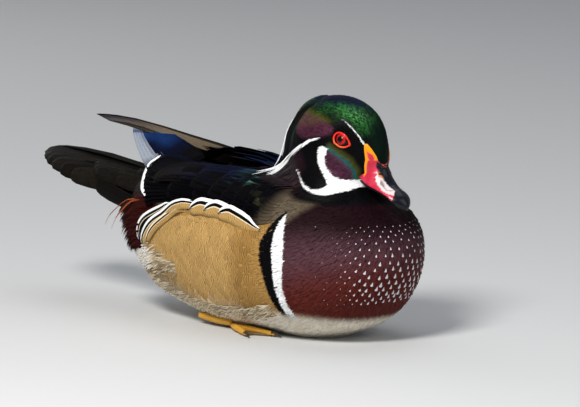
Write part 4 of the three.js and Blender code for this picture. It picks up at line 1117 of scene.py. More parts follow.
def wing_tints(kind, lines, draws, side):
    """Colours of a tier by place along each feather, with painted blue sheen and painted glints."""
    count = len(lines)
    x, _, z = np.moveaxis(lines, -1, 0)
    # blue is the share of the painted blue sheen near the top of the wing, stronger on the right wing.
    blue = (0.75 if side < 0 else 0.3) * ease(z, 104, 110) * ease(-x, 14, 30)
    blue = blue * draws.uniform(0.2, 1, (count, 1))
    found = layered(WING_OLIVE, (BLACK_BLUE, ease(-x + 0.5 * (z - 97), -27, -14)), (BLUE_SHEEN, blue))
    for (at_x, at_z), tint in SHOULDER_GLINTS:
        near = ease(np.hypot((x - at_x) * 0.6, z - at_z), GLINT_REACH, 0.2 * GLINT_REACH)
        found = into(found, tint, near * draws.uniform(0, 1, (count, 1)) ** 2)
    if kind == "tertials":
        found = into(found, TERTIAL_BROWN, np.full(x.shape, 0.12))
    found[..., :3] *= draws.uniform(0.8, 1.25, (count, 1, 1))
    return found


wing_finish = plumage_finish("wing_feathers", 0.6, 0.75, 0.015, mottle=0.3, grain=500, shine=0.01)
for side in (1, -1):
    wing = on_side("wing", side)
    draws = np.random.default_rng(51)
    parts = []
    for kind, count, root_high, root_low, tip_high, tip_low, half, extra in WING_ROWS:
        roots, tips = row_of(count, root_high, root_low), row_of(count, tip_high, tip_low)
        tips[:, 0] += draws.uniform(-1.2, 1.2, count) + (14 if side > 0 and kind == "tertials" else 0)
        lines, overs = lying(roots, tips, FEATHER_SHARES, wing_girth, over_wing(side, extra))
        halves = half * FEATHER_SWELL * draws.uniform(0.94, 1.06, (count, 1))
        if kind in ("secondaries", "greater"):
            halves = halves * np.linspace(1.1, 0.62, count)[:, None]
        if kind == "secondaries":
            gaps = row_at(PANEL_END, np.linspace(0.05, 0.96, count)) - lines[:, -1]
            lines = lines + gaps[:, None] * (FEATHER_SHARES**2.2)[:, None]
            halves[:, 4:] = half * np.array([0.8, 0.5, 0.15])
        parts.append((lines, overs, halves, wing_tints(kind, lines, draws, side)[:, :, None]))
    whole = (np.concatenate(each) for each in zip(*parts))
    form = {"cup": 0.04, "thick": 0.12, "ridge": 0.08}
    one_side("wing_feathers", side, wing, *whole, wing_finish, FEATHER_COLUMNS, wing, **form)

# The white ends of the secondaries make one crescent along the rear of the folded wing.
end_shares = np.linspace(0, 1, 25)
end_lift = 1.3 + 1.6 * ease(end_shares, 0.6, 0.85)
overs = np.repeat(unit(np.array([[(-0.3, 0.7, 0.65)]])), len(end_shares), 1)
lines = row_at(PANEL_END, end_shares) + overs * end_lift[:, None]
halves = 1.8 * np.interp(end_shares, (0, 0.12, 0.5, 0.85, 1), (0.2, 0.7, 1.0, 0.8, 0.25))[None]
columns = [-1, -0.4, 0, 0.4, 1]
for side in (1, -1):
    whole = (lines, overs, halves, WHITE)
    one_side("white_ends", side, on_side("wing", side), *whole, wing_finish, columns, cup=0.1, thick=0.25)

# The folded primaries: two fans of long feathers whose tips meet over the tail. The left wing's lie over
# the right wing's. Each fan has the first and the last root, the first and the last tip, and its face.
FANS = [
    (1, (-92, 30, 103.5), (-82, 21, 112), (-178, -9, 128.5), (-189, -12, 130.5), (0, 0.82, 0.57), 5.6),
    (-1, (-100, 34, 98), (-80, 14, 110), (-169, -6, 124), (-152, -8, 123.5), (0, 0.51, 0.86), 6.4),
]
PRIMARIES = 9
BLADE_SHARES = np.array([0, 0.12, 0.3, 0.5, 0.7, 0.84, 0.93, 0.975, 1])
BLADE_SWELL = np.array([0.5, 0.85, 0.97, 0.97, 0.85, 0.68, 0.48, 0.3, 0.08])
for side, root_low, root_high, tip_low, tip_high, face, half in FANS:
    # blue is the share of painted blue sheen on each fan.
    slim, blue, tip_blue = (0.6, 0.1, 0.1) if side > 0 else (0, 0.35, 0.3)
    place = np.linspace(0, 1, PRIMARIES)[:, None]
    roots, tips = row_of(PRIMARIES, root_low, root_high), row_of(PRIMARIES, tip_low, tip_high)
    face = unit(np.array(face))
    lines = roots[:, None] + (tips - roots)[:, None] * BLADE_SHARES[:, None]
    lines = lines + face * (2.4 * (place - 0.5) - 2.0 * np.sin(np.pi * BLADE_SHARES))[..., None]
    if side > 0:
        lines[..., 2] += 4.0 * np.sin(np.pi * BLADE_SHARES**1.6)
    overs = np.broadcast_to(face, lines.shape)
    halves = half * np.tile(BLADE_SWELL * (1 - slim * BLADE_SHARES), (PRIMARIES, 1))
    place, along, across = place[..., None], BLADE_SHARES[:, None], np.array(FEATHER_COLUMNS)
    silvered = ease(along, 0.3, 0.45) * ease(-place, -0.5, -0.3)
    tints = layered(
        BLACK_BLUE,
        (BLUE_SHEEN, blue * ease(place, 0.2, 0.7) * ease(along, 0.3, 0.7)),
        (SILVER, silvered * (0.45 + 0.55 * ease(-across, -0.1, 0.1))),
        (STEEL_BLUE, ease(along + 0.25 * place, 0.84, 0.98) * tip_blue),
    )
    browned, inked = 0.85 * ease(along, 0.35, 0.8), 0.95 * ease(place, 0.8, 0.9)
    under = layered(BLADE_UNDER, (TERTIAL_BROWN, browned), (INK, inked))
    form = {"cup": 0.06, "thick": 0.3, "ridge": 0.2, "under": under}
    blades = (lines, overs, halves, tints)
    one_side("primaries", side, on_side("wing", side), *blades, wing_finish, FEATHER_COLUMNS, **form)

# The flanks: soft gold feathers with fine wavy bars, the long ones of the upper edge each ending in a
# white band and a black one, and grey-brown and white tufts low at the rear.
FLANK_FRONT, FLANK_REAR = 37, -126
FLANK_UPPER = (84, 84.5, 88, 90.5, 90, 88, 83, 72, 50)
FLANK_LOWER = (24, 17, 14, 13, 13, 15, 20, 27, 36)
FLANK_GOLD = colour(192, 156, 98)
FLANK_GREY = colour(142, 124, 96)
FLANK_CREAM = colour(228, 214, 186)


def flank_rim(x, heights):
    """The height of the flank's upper or lower edge at x."""
    return value_at(heights, (FLANK_FRONT - x) / (FLANK_FRONT - FLANK_REAR))


def flank_lift(low, high, fade=1e-6):
    """A lift that rises from root to tip, over the lower edge of the wing where that lies below. There it
    fades out over a share of the wing's height."""

    def lift(x, height, along):
        high_edge, low_edge = wing_edges(x)
        share = np.clip((body.girth_at(x, height) - high_edge) / (low_edge - high_edge), 0, 1)
        form = wing_form(x, share, -1)
        return low + (high - low) * along**0.8 + (form - 0.3) * ease(1 - share, 0, fade)

    return lift


def barred_finish():
    """Feathers with fine dark wavy bars across them, about a millimetre apart."""
    finish = plumage_finish("flank_feathers", 0.62, mottle=0.25, grain=700)
    along, aside = finish.on_vane()
    wander = finish.noise(160, 2.0)
    bars = ((along + abs(aside) * 0.25 + wander * 5.0) * (2 * math.pi / 1.3)).wave().above(-0.1, 0.9)
    base = Term(finish, finish.shader.inputs["Base Color"].links[0].from_socket)
    red = finish.node("SeparateColor", {}, {0: base})[0]
    pale = red.maths("LESS_THAN", red, 0.62) * (red - 0.1).above(0.0, 0.12)
    return finish.set(Base_Color=finish.tinted(bars * pale * 0.75, base, (0.22, 0.16, 0.1, 1)))


flank_finish = barred_finish()
SOFT_SHARES = np.array([0, 0.3, 0.6, 0.82, 0.94, 1])
SOFT_SWELL = np.array([0.6, 0.95, 1, 0.86, 0.6, 0.2])
BAND_COLUMNS = [-1, -0.5, -0.1, 0.04, 0.1, 0.17, 0.21, 0.56, 0.6, 1]
BAND_SHARES = np.linspace(0, 1, 23)
BAND_SWELL = np.interp(BAND_SHARES, (0, 0.25, 0.5, 0.8, 0.9, 0.965, 1), (0.6, 0.88, 1, 0.97, 0.82, 0.6, 0.2))
CRESCENTS = [(19, -21), (4, -36), (-11, -51)]
REAR_ARCS = [
    [
        (-60, 86.8), (-73, 85.9), (-79.7, 84.5), (-86.4, 81.4), (-97.4, 76.7), (-107.4, 71.7), (-113, 66.4),
        (-115.4, 60.4), (-115, 54),
    ],
    [
        (-34, 89.2), (-50, 88.4), (-58, 87.4), (-64, 86.2), (-72.6, 83.9), (-79.5, 80.3), (-85.5, 76.8),
        (-92.8, 73), (-99, 68.9), (-104, 64), (-108, 58.8), (-110.5, 53),
    ],
    [(-52, 84.5), (-62, 83.4), (-70, 81), (-76.6, 77.8), (-84.4, 73), (-92, 68), (-98, 62.4), (-102.5, 56)],
]
ARC_FORMS = [(4.4, 0.2, 2.0, 0.12, 0.5), (4.4, 0.8, 2.4, 0.02, 1), (3.0, 0.9, 2.8, 0.02, 1)]
BAND_TINTS = np.stack([FLANK_GOLD] * 4 + [FLANK_CREAM] * 2 + [INK] * 2 + [WHITE] * 2)
FLANK_ROWS, FLANK_STEP, FLANK_LENGTH = 17, 7.5, 22
TUFTS, FRINGE = 380, 700

# The long feathers lie in rows, each from the black bar back and staggered against the next.
draws = np.random.default_rng(61)
parts = []
for row in range(FLANK_ROWS):
    q = (row + 0.5) / FLANK_ROWS
    start = np.interp(24 + 60 * (1 - q), BAR_HEIGHTS, BLACK_BACK) + 4
    x = np.arange(start, -100, -FLANK_STEP) - (3.7 if row % 2 else 0)
    count, ends = len(x), x - FLANK_LENGTH
    z, end_z = (blend(flank_rim(at, FLANK_UPPER) - 6, flank_rim(at, FLANK_LOWER), q) for at in (x, ends))
    tips = np.stack([ends, end_z + draws.uniform(-1, 1, count)], 1)
    tall = ease(22 - x, 0, 34)[:, None]
    lift = flank_lift(-1.4 + 0.3 * tall, 0.1 + 0.3 * tall, 0.3)
    lines, overs = lying(np.stack([x, z], 1), tips, SOFT_SHARES, body.girth_at, lift)
    tints = layered(
        FLANK_GOLD,
        (FLANK_GREY, ease(-x - 1.1 * (z - 40), 50, 100)),
        (FLANK_CREAM, ease(29 - z + draws.uniform(-3, 3, count), 0, 14) * 0.4),
        (GOLD, ease(x, 2, 24)),
    )
    tints[:, :3] *= draws.uniform(0.88, 1.1, (count, 1))
    parts.append((lines, overs, np.tile(6.4 * SOFT_SWELL, (count, 1)), tints[:, None, None]))
long_feathers = [np.concatenate(each) for each in zip(*parts)]

# The crescents end the feathers of the upper edge, and behind them banded feathers bend down in arcs.
starts, ends = np.array(CRESCENTS, float).T[:, :, None]
x = blend(starts, ends, BAND_SHARES)
z = flank_rim(x, FLANK_UPPER) - blend(7.0, 5.0, BAND_SHARES) - 3.5 * ease(BAND_SHARES, 0.74, 1.05)
lift = flank_lift(0.4, 2.6)(x, z, BAND_SHARES)
halves = np.tile(6.2 * BAND_SWELL * np.interp(BAND_SHARES, (0, 0.3), (0.35, 1)), (len(x), 1))
for arc, (half, low, high, start, narrow) in zip(REAR_ARCS, ARC_FORMS):
    flat = row_at(arc, BAND_SHARES)
    run = unit(np.gradient(flat, axis=0))
    flat = flat + 0.78 * half * np.stack([-run[:, 1], run[:, 0]], 1)
    shown = ease(BAND_SHARES, start, start + 0.12)
    rise = flank_lift(low, high)(*flat.T, BAND_SHARES) + 1.8 * ease(flat[:, 1], 76, 82)
    rise = np.convolve(np.pad(blend(-1.6, rise, shown), 2, "edge"), np.ones(5) / 5, "valid")
    wide = half * BAND_SWELL * blend(narrow, 1, ease(BAND_SHARES, start, start + 0.35))
    added = (flat[:, 0], flat[:, 1], rise, wide)
    x, z, lift, halves = (np.vstack(pair) for pair in zip((x, z, lift, halves), added))
girth = body.girth_at(x, z)
lines = body.at(x, girth, lift)
overs = unit(body.at(x, girth, lift + 1) - lines)
overs = unit(overs - 0.3 * unit(np.cross(overs, np.gradient(lines, axis=1))))
tints = np.tile(BAND_TINTS, (len(x), len(BAND_SHARES), 1, 1))
tints[-3, :, :4] = INK
tints[-1, :, -2:] = FLANK_CREAM
tints[:, -1, 3:8] = INK
tints[:, -2, 3:5] = INK
crescents = (lines, overs, halves, tints)

# Loose tufts stand behind the flank, and a fringe of them runs along its lower edge.
draws = np.random.default_rng(67)
x = -118 + 52 * draws.uniform(0, 1, TUFTS) ** 1.6
z = 42 + draws.normal(0, 1, TUFTS) * np.interp(x, (-118, -90, -60), (6, 4, 2)) - 0.1 * (x + 85)
pale = draws.uniform(0, 0.4, TUFTS) + 0.6 * ease(-x, 85, 102)
fringe = draws.uniform(-108, 26, FRINGE)
x = np.concatenate([x, fringe])
z = np.concatenate([z, flank_rim(fringe, FLANK_LOWER) + draws.uniform(-1, 7, FRINGE)])
pale = np.concatenate([pale, draws.uniform(0.1, 0.55, FRINGE)])
tips = np.stack([x - draws.uniform(6, 11, len(x)), z - draws.uniform(0, 5, len(x))], 1)
lines, overs = lying(np.stack([x, z], 1), tips, SOFT_SHARES, body.girth_at, flank_lift(0.0, 1.2))
halves = draws.uniform(0.15, 0.4, (len(x), 1)) * SOFT_SWELL
tints = layered(FLANK_GREY, (FLANK_CREAM, ease(pale, 0.1, 0.5)), (WHITE, ease(pale, 0.5, 1)))
loose_tufts = (lines, overs, halves, tints[:, None, None])
tuft_chart = flat_chart(lines[:, 0], 40)

for side in (1, -1):
    flank = on_side("flank", side)
    one_side("flank_feathers", side, flank, *long_feathers, flank_finish, FEATHER_COLUMNS, flank, cup=0.08)
    one_side("flank_crescents", side, flank, *crescents, flank_finish, BAND_COLUMNS, cup=0.14, thick=0.2)
    one_side("flank_tufts", side, flank, *loose_tufts, body_finish, SHEET, cup=0.2, chart=tuft_chart)

# The tail: long feathers laid like a roof, with tiers of coverts over and under them.
TAIL_BROWN = colour(11, 10, 9, 0.05)
TAIL_SHEEN = colour(25, 22, 18, 0.06)
TAIL_COVERTS = [(-131, 91.5, 64), (-122, 91, 52), (-114, 91, 40)]


def fanned(roots, lengths, yaws, pitches, rolls, halves):
    """Feathers that start at roots and run back by yaw and pitch, with their faces rolled out: their lines,
    the normals along them and their half widths."""
    place = np.stack(np.broadcast_arrays(*roots), 1).astype(float)
    lines = [place]
    turn = np.radians(yaws)
    for before, share in zip(FEATHER_SHARES[:-1], FEATHER_SHARES[1:]):
        pitch = np.radians(blend(*pitches, (share + before) / 2))
        step = [-np.cos(turn) * np.cos(pitch), np.sin(turn), np.sin(pitch)]
        place = place + np.stack(np.broadcast_arrays(*step), 1) * (lengths * (share - before))[:, None]
        lines.append(place)
    roll = np.radians(rolls)
    face = np.stack([0 * roll, np.sin(roll), np.cos(roll)], 1)
    faces = np.repeat(face[:, None], len(FEATHER_SHARES), 1)
    return np.stack(lines, 1), faces, (halves + 0 * roll)[:, None] * FEATHER_SWELL


tail_finish = plumage_finish("tail_feathers", 0.45, 0.8, 0.02, mottle=1.1, grain=330, shine=0.03)
for side in (1, -1):
    draws = np.random.default_rng(71)
    k = np.arange(7)
    s = k / 6
    roots = (-136, 3 + 1.3 * k + (0.3 if side > 0 else 0), 92.5 - 2.1 * k)
    pitches = (10 + 2.5 * s, -1 + 3 * s)
    parts = [fanned(roots, 108 * (1 - 0.37 * s**2), 1.5 + 10 * s, pitches, 16 + 46 * s, 9.3 - 1.5 * s)]
    k = np.arange(6)
    for back, high, reach in TAIL_COVERTS:
        lengths = reach - 2.6 * k + draws.uniform(-2, 2, 6)
        roots = (back + 0.6 * k, 2 + 2.9 * k, high - 1.25 * k)
        parts.append(fanned(roots, lengths, 0.6 + 1.9 * k, (6, 9), 10 + 9 * k, 5.6))
    k = np.arange(5)
    roots = (-130, 2 + 4 * k, 64 + 1.5 * k)
    parts.append(fanned(roots, 58 - 3.0 * k, 1 + 3 * k, (14, 21), 172 - 16 * k, 7.5))
    lines, overs, halves = (np.concatenate(each) for each in zip(*parts))
    tints = into(TAIL_BROWN, TAIL_SHEEN, draws.uniform(0, 1, (len(lines), 1, 1)))
    whole = (lines, overs, halves, tints)
    solids = ["tail"] if side > 0 else []
    form = {"cup": 0.04, "thick": 0.15, "ridge": 0.1}
    one_side("tail_feathers", side, "tail", *whole, tail_finish, FEATHER_COLUMNS, *solids, **form)

# Plumes of the rump: fine maroon ones that hang over the root of the tail, and a few long orange ones.
PLUME_MAROON = colour(52, 16, 13, 0.08)
PLUME_ORANGE = colour(150, 78, 44, 0.05)
STRANDS = [
    [(-121, 37, 81), (-128, 40, 80.5), (-137, 41, 74.5), (-145, 41.5, 67.5), (-151, 40, 60)],
    [(-117, 39, 81), (-123, 41.5, 79.5), (-130, 42.5, 73.5), (-137, 42.5, 66.5), (-143, 41, 58)],
]
PLUMES = 560
PLUME_FACE = unit(np.array((-0.35, 1, 0.3)))
plume_finish = plumage_finish("rump_plumes", 0.5, barb_depth=0.05, mottle=0.3)
draws = np.random.default_rng(81)
q = draws.uniform(0, 1, PLUMES)
start = draws.uniform(-1, 1, PLUMES)
x = -112 - 2 * q + 8 * start
roots = body.at(x, body.girth_at(x, blend(83, 48, q)), -1.0)
end_x = blend(-139, -129, q) + 3 * start + draws.uniform(-1, 6, PLUMES)
end_y = 36 + 1.5 * np.sin(3 * q) + draws.uniform(-2.5, 0.5, PLUMES)
ends = np.stack([end_x, end_y, blend(72, 42, q) + start], 1)
shares = np.linspace(0, 1, 7)
lines = roots[:, None] + (ends - roots)[:, None] * shares[:, None]
lines[:, :, 1] += 3 * np.sin(np.pi * shares) + draws.uniform(-1, 1, (PLUMES, 1)) * shares
lines[:, :, 2] += 2.5 * np.sin(np.pi * shares)
overs = np.broadcast_to(PLUME_FACE, lines.shape)
halves = draws.uniform(0.5, 1.1, (PLUMES, 1)) * np.array([0.6, 0.9, 1, 0.95, 0.8, 0.5, 0.1])
plumes = (lines, overs, halves, PLUME_MAROON * draws.uniform(0.45, 1.0, (PLUMES, 1, 1, 1)))
plume_chart = flat_chart(roots, 60)

# Three long orange strands follow each of two lines.
shares = np.linspace(0, 1, 9)
ways = [row_at(way, shares) for way in STRANDS for _ in range(3)]
lines = np.array([way + draws.uniform(-0.6, 0.6, 3) * (1, 0.6, 1) for way in ways])
overs = np.broadcast_to(PLUME_FACE, lines.shape)
halves = np.tile(0.26 * np.array([0.3, 0.6, 1, 1, 1, 0.9, 0.7, 0.5, 0.2]), (len(lines), 1))
strands = (lines, overs, halves, PLUME_ORANGE * draws.uniform(0.75, 1.15, (len(lines), 1, 1, 1)))
strand_chart = flat_chart(lines[:, 0], 60)

for side in (1, -1):
    one_side("rump_plumes", side, "torso", *plumes, plume_finish, SHEET, cup=0.2, chart=plume_chart)
    one_side("rump_strands", side, "torso", *strands, plume_finish, SHEET, cup=0.2, chart=strand_chart)

# The crest: long narrow locks from the back of the crown that hang on to the back, with white strands
# where the line behind the eye and the line over it run on.
CREST_GREEN = colour(26, 66, 44, 0.55)
CREST_BLUE = colour(18, 28, 66, 0.5)
CREST_PURPLE = colour(56, 26, 66, 0.45)
LOCK_SHARES = np.array([0, 0.12, 0.3, 0.5, 0.7, 0.86, 0.95, 1])
LOCK_SWELL = np.array([0.4, 0.8, 1, 1, 0.9, 0.7, 0.45, 0.1])
WHITE_STRANDS = [
    [
        (25.5, 21.6, 132.6), (16.8, 19.9, 127.3), (9, 16, 123), (3.8, 13.4, 119.5), (-2, 14, 114.2),
        (-7, 17, 110), (-13, 24, 106.6),
    ],
    [
        (25.5, 21.6, 133.6), (16.8, 19.9, 128.6), (9, 16.3, 124.4), (3.2, 14, 121), (-3, 14, 115.5),
        (-10, 17, 111.5), (-21, 23.5, 108.6),
    ],
    [
        (12, 16.4, 149), (6, 14.5, 143), (2, 13.4, 137), (0.5, 14, 130.3), (-2.4, 14, 123),
        (-5.6, 13.7, 117.8), (-12, 12.6, 111),
    ],
]
crest_finish = plumage_finish("crest_locks", 0.4, barb_depth=0.05, mottle=0.35, grain=1200, shine=0.12)
draws = np.random.default_rng(91)
LOCKS = 620
start = draws.uniform(0, 1, LOCKS) ** 0.9 * 0.62
reach = np.minimum(draws.uniform(0.26, 0.44, LOCKS), 0.97 - start)
turn = np.radians(draws.uniform(-100, 100, LOCKS))
place = start[:, None] + reach[:, None] * LOCK_SHARES
lean = turn[:, None] * (1 - 0.15 * LOCK_SHARES)
lift = -1.6 + draws.uniform(1.6, 2.4, (LOCKS, 1)) * np.minimum(1, 3 * LOCK_SHARES)
lines = on_crest(place, lean, lift)
overs = unit(on_crest(place, lean, lift + 1) - lines)
lines = lines + np.stack([0 * place, draws.normal(0, 0.5, (LOCKS, 1)) * LOCK_SHARES, 0 * place], -1)
halves = draws.uniform(0.8, 1.7, (LOCKS, 1)) * LOCK_SWELL
hue = draws.uniform(0, 1, (LOCKS, 1))
tints = layered(
    INK,
    (CREST_GREEN, ease(0.42 - place, 0, 0.25) * ease(hue, 0.25, 0.6)),
    (CREST_BLUE, 0.8 * ease(hue, 0.5, 0.2) * ease(place, 0.0, 0.3) * ease(np.abs(lean), 1.2, 0.3)),
    (CREST_PURPLE, 0.7 * ease(hue, 0.6, 0.9) * ease(place, 0.2, 0.5)),
)[:, :, None]
chart = flat_chart(lines[:, 0], 120)
locks = vanes("crest_locks", lines, overs, halves, tints, crest_finish, SHEET, 0.35, chart=chart)
carried(locks, "crest", "crest")

# The white strands follow three lines down the crest and part towards their ends.
strands, shares = [], np.linspace(0, 1, 14)
spread = np.interp(shares, (0, 0.5, 1), (0.3, 0.6, 1.3))[:, None]
for way, number, scatter in zip(WHITE_STRANDS, (9, 8, 4), (0.75, 0.75, 0.35)):
    for _ in range(number):
        strand = row_at(way, shares * draws.uniform(0.86, 1))
        strands.append(strand + draws.uniform(-1, 1, 3) * scatter * spread * (1, 0.3, 1))
strands = np.array(strands)
overs = np.broadcast_to(unit(np.array((-0.25, 1, 0.35))), strands.shape)
wide = np.interp(shares, (0, 0.1, 0.85, 1), (0.5, 1, 0.8, 0.1))
halves = draws.uniform(0.35, 0.7, (len(strands), 1)) * wide
whites = (strands + (0, 0.5, 0), overs, halves, WHITE)
chart = flat_chart(strands[:, 0], 120)
for side in (1, -1):
    one_side("crest_strands", side, "crest", *whites, crest_finish, SHEET, cup=0.3, chart=chart)

# Fine dark locks of the nape, which start under the crest and fall over the shoulders to where the wings
# begin.
NAPE_SHEEN = colour(42, 23, 31, 0.15)
draws = np.random.default_rng(97)
NAPE_LOCKS, shares = 300, np.linspace(0, 1, 10)
low = draws.uniform(0, 1, (NAPE_LOCKS, 1))
first = blend(np.array((8, 18, 128)), np.array((31, 26, 107)), low) + draws.normal(0, 1.2, (NAPE_LOCKS, 3))
last = blend(np.array((-10, 27, 109)), np.array((15, 33, 103)), low) + draws.normal(0, 2, (NAPE_LOCKS, 3))
path = first[:, None] + (last - first)[:, None] * shares[:, None]
lines, overs = (each.reshape(path.shape) for each in on_skin(path.reshape(-1, 3)))
lines = lines + overs * (0.4 + 3.6 * shares * draws.uniform(0.5, 1, (NAPE_LOCKS, 1)))[..., None]
halves = draws.uniform(0.25, 0.6, (NAPE_LOCKS, 1)) * np.interp(shares, (0, 0.15, 0.7, 1), (0.4, 1, 0.8, 0.1))
locks = (lines, overs, halves, into(INK, NAPE_SHEEN, draws.uniform(0, 1, (NAPE_LOCKS, 1, 1))))
chart = flat_chart(lines[:, 0], 120)
for side in (1, -1):
    one_side("nape_locks", side, "neck", *locks, crest_finish, SHEET, cup=0.3, chart=chart)

# The bill: an upper half with a lobe up each side of the forehead, nostrils and a hooked nail, and a
# narrower lower half.
BILL_FRAMES = [
    (77.5, 126.6, 66, 118.5, 11.4), (83.4, 121.8, 72.6, 112.8, 11.3), (87.4, 115.4, 78.5, 109.5, 10.9),
    (91.9, 110.2, 86.3, 106.8, 10.2), (97.5, 106.6, 93.4, 103.9, 9.5), (102, 103.2, 98.7, 100.3, 8.4),
    (104.4, 99.6, 101.4, 96.8, 6.0), (105.3, 96.6, 102.9, 95, 3.2),
]
BILL_TIP = np.array((104.6, 0, 93.6))
BILL_DOWN = np.array((-0.72, 0, -0.7))
BILL_RED = colour(186, 34, 60)
BILL_PINK = colour(206, 62, 90)
BILL_YELLOW = colour(234, 146, 16)
BILL_WHITE = colour(210, 198, 201)
BILL_BLACK = colour(7, 10, 20)
BILL_BROWN = colour(92, 66, 44)
NAIL = [(98.3, 110), (98.1, 104.5), (98.2, 102.2), (99, 97), (100, 88), (112, 88), (112, 110)]
WHITE_SADDLE = [
    (82.3, 116.9), (83.6, 117.3), (85.3, 115.4), (87.4, 114.9), (89.3, 112.9), (92.1, 110.2), (94.6, 108.5),
    (96.3, 107.3), (98.3, 104.2), (94.5, 105), (89.3, 107), (85.3, 110.2), (82.8, 113),
]
LOBE_PINK = [
    (76.3, 132.8), (77.8, 131.6), (80, 130.4), (80.8, 128.4), (80.6, 126.4), (78.4, 126.2), (77.2, 128.2),
]
LOBE_REAR = [(74.8, 131), (76, 127), (75.2, 123.1), (74.4, 117.5), (73.8, 115.3)]
LOBE_REAR_WIDTHS = [2.2, 2.6, 2.2, 1.8, 0.4]
LOBE_FRONT = [
    (81, 6.4, 127.6), (81.4, 5.2, 125.4), (82.4, 3.2, 123.4), (83.4, 1.2, 122.0), (83.8, 0, 121.6),
]
RIDGE_AT = (79, 82, 85, 88, 92, 96, 98, 101)
RIDGE_WIDTHS = (6.2, 6.3, 5.8, 4.7, 4.0, 3.4, 6, 9)
NOSTRIL_SHADE = [(84, 117.5), (86.2, 116.6)]
NOSTRIL_RIM = [(83.6, 117.6), (84.8, 116.2), (87, 115)]
SMUDGE = [(84.3, 114), (86.5, 111.7), (88.9, 109.7)]
SCRATCH = [(88.9, 109.5), (92, 107.3), (95, 107), (96, 107.6)]


def bill_tints(places):
    """Colours of the bill and its lobes by place."""
    x, y, z = mirrored(places).T
    flat = np.stack([x, z], 1)
    blotch = np.sin(2.1 * x + 1.3 * z) * np.sin(1.7 * z - 0.8 * x + 1)
    blush = ease(np.sin(0.5 * x + 0.3 * z) * np.sin(0.4 * z - 0.5 * x), -0.6, 0.9)
    lobe = ease(z, 126.0, 127.2) * (1 - patch(flat, LOBE_PINK, 0.6))
    ridge = np.interp(x, RIDGE_AT, RIDGE_WIDTHS)
    ridge = ease(ridge + 0.2 * blotch - y, -0.2, 0.2) * ease(z + 1.4 * x, 234, 236) * (z < 121.6 + 0.67 * y)
    nostril_rim = stripe(flat, NOSTRIL_RIM, [1.6, 2.4, 1.0], 0.4) * 0.8 * ease(y, 4, 4.6)
    return layered(
        BILL_RED,
        (BILL_PINK, blush * 0.6),
        (BILL_YELLOW, np.maximum(lobe, stripe(flat, LOBE_REAR, LOBE_REAR_WIDTHS, 0.4)) * (x < 85)),
        (BILL_YELLOW, stripe(mirrored(places), LOBE_FRONT, [0.8] * 5, 0.25)),
        (BILL_WHITE, patch(flat + 0.15 * blotch[:, None], WHITE_SADDLE, 0.35)),
        (BILL_BLACK, np.maximum(ridge, patch(flat + 0.2 * blotch[:, None], NAIL, 0.4))),
        (BILL_BROWN, stripe(flat, SMUDGE, [0.6, 1.8, 0.8], 0.5) * 0.8),
        (BILL_BROWN, stripe(flat, SCRATCH, [0.5, 0.3, 0.5, 0.3], 0.3) * 0.7),
        (BILL_YELLOW * (0.6, 0.45, 0.4, 1), nostril_rim),
        # The nostril is a painted dark slot: painted shade of its opening, which the surface does not cut.
        (INK * (1, 1, 1, 0), stripe(flat, NOSTRIL_SHADE, [1.4, 1.2], 0.3) * ease(y, 3.6, 4.2)),
    )


def bare_piece(name, places, faces, tints, finish, slot, *nodes):
    """A piece without feathers, in one colour or in a colour for each place."""
    made = mesh_object(name, places, faces, finish)
    paint(made.data, np.broadcast_to(tints, (len(places), 4)))
    return carried(made, slot, *nodes)


horn = Finish("bill_horn")
grain = horn.noise(700, 3.0)
horn.set(Base_Color=horn.painted()[0], Roughness=0.38 + grain * 0.2 - 0.1, Coat_Weight=0.36)
horn.set(Coat_Roughness=0.14, Specular_IOR_Level=0.12, Normal=horn.bump(grain, 0.2, 0.05))

turns = np.linspace(0, 2 * np.pi, 129)[:-1]
ridge_x, ridge_z, edge_x, edge_z, half = columns_at(BILL_FRAMES, np.linspace(0, 1, 151)[:, None])
up = np.cos(turns)
over = np.where(up > 0, np.abs(up) ** 1.5, 0.12 * up)
rings = [blend(edge_x, ridge_x, over), half * np.sin(turns), blend(edge_z, ridge_z, over)]
bill_places, bill_faces = closed_skin(np.stack(rings, -1))
bill_places[-2] = (68.8, 0, 125.5)
bill_places[-1] = BILL_TIP
bare_piece("bill_upper", bill_places, bill_faces, bill_tints(bill_places), horn, "bill_upper", "bill_upper")
share = np.linspace(0, 1, 33)[:, None]
_, _, edge_x, edge_z, half = columns_at(BILL_FRAMES, 0.9 * share)
inset, drop = 0.7 + 0.4 * share, 5.2 * (1 - 0.55 * share)
down = drop * (0.45 - 0.55 * np.cos(turns))
rings = np.stack([edge_x + 0 * turns, (half - inset) * np.sin(turns), edge_z + 0 * turns], -1)
rings = rings + BILL_DOWN * down[..., None]
bare_piece("bill_lower", *closed_skin(rings), BILL_BLACK, horn, "bill_lower", "bill_lower")

# The lobes lie over the head and the bill's side, whose outermost places are found from the side.
LOBE_HEIGHTS = (110.5, 111.8, 114.4, 117.5, 120, 123.1, 125, 127, 129.2, 131.9, 134.4, 136.4, 137.7)
LOBE_BACK = (73.5, 72.2, 73.1, 74, 74.3, 74.6, 75, 75.3, 75, 74.5, 74.1, 73.9, 74.4)
LOBE_AHEAD = (76, 80, 83, 83.5, 83.5, 82.6, 81.9, 81.5, 81.1, 79.8, 78.2, 76.6, 75.2)
LOBE_EVENING = 30
bill_tree = BVHTree.FromPolygons(bill_places.tolist(), bill_faces)


def outermost(x, z):
    """How far from the middle the head or the bill reaches at places seen from the side."""
    found = []
    for along, height in zip(x.ravel(), z.ravel()):
        hits = [tree.ray_cast((along, 60, height), (0, -1, 0))[0] for tree in (skin_tree, bill_tree)]
        found.append(max(hit[1] if hit else 0 for hit in hits))
    return np.array(found).reshape(x.shape)


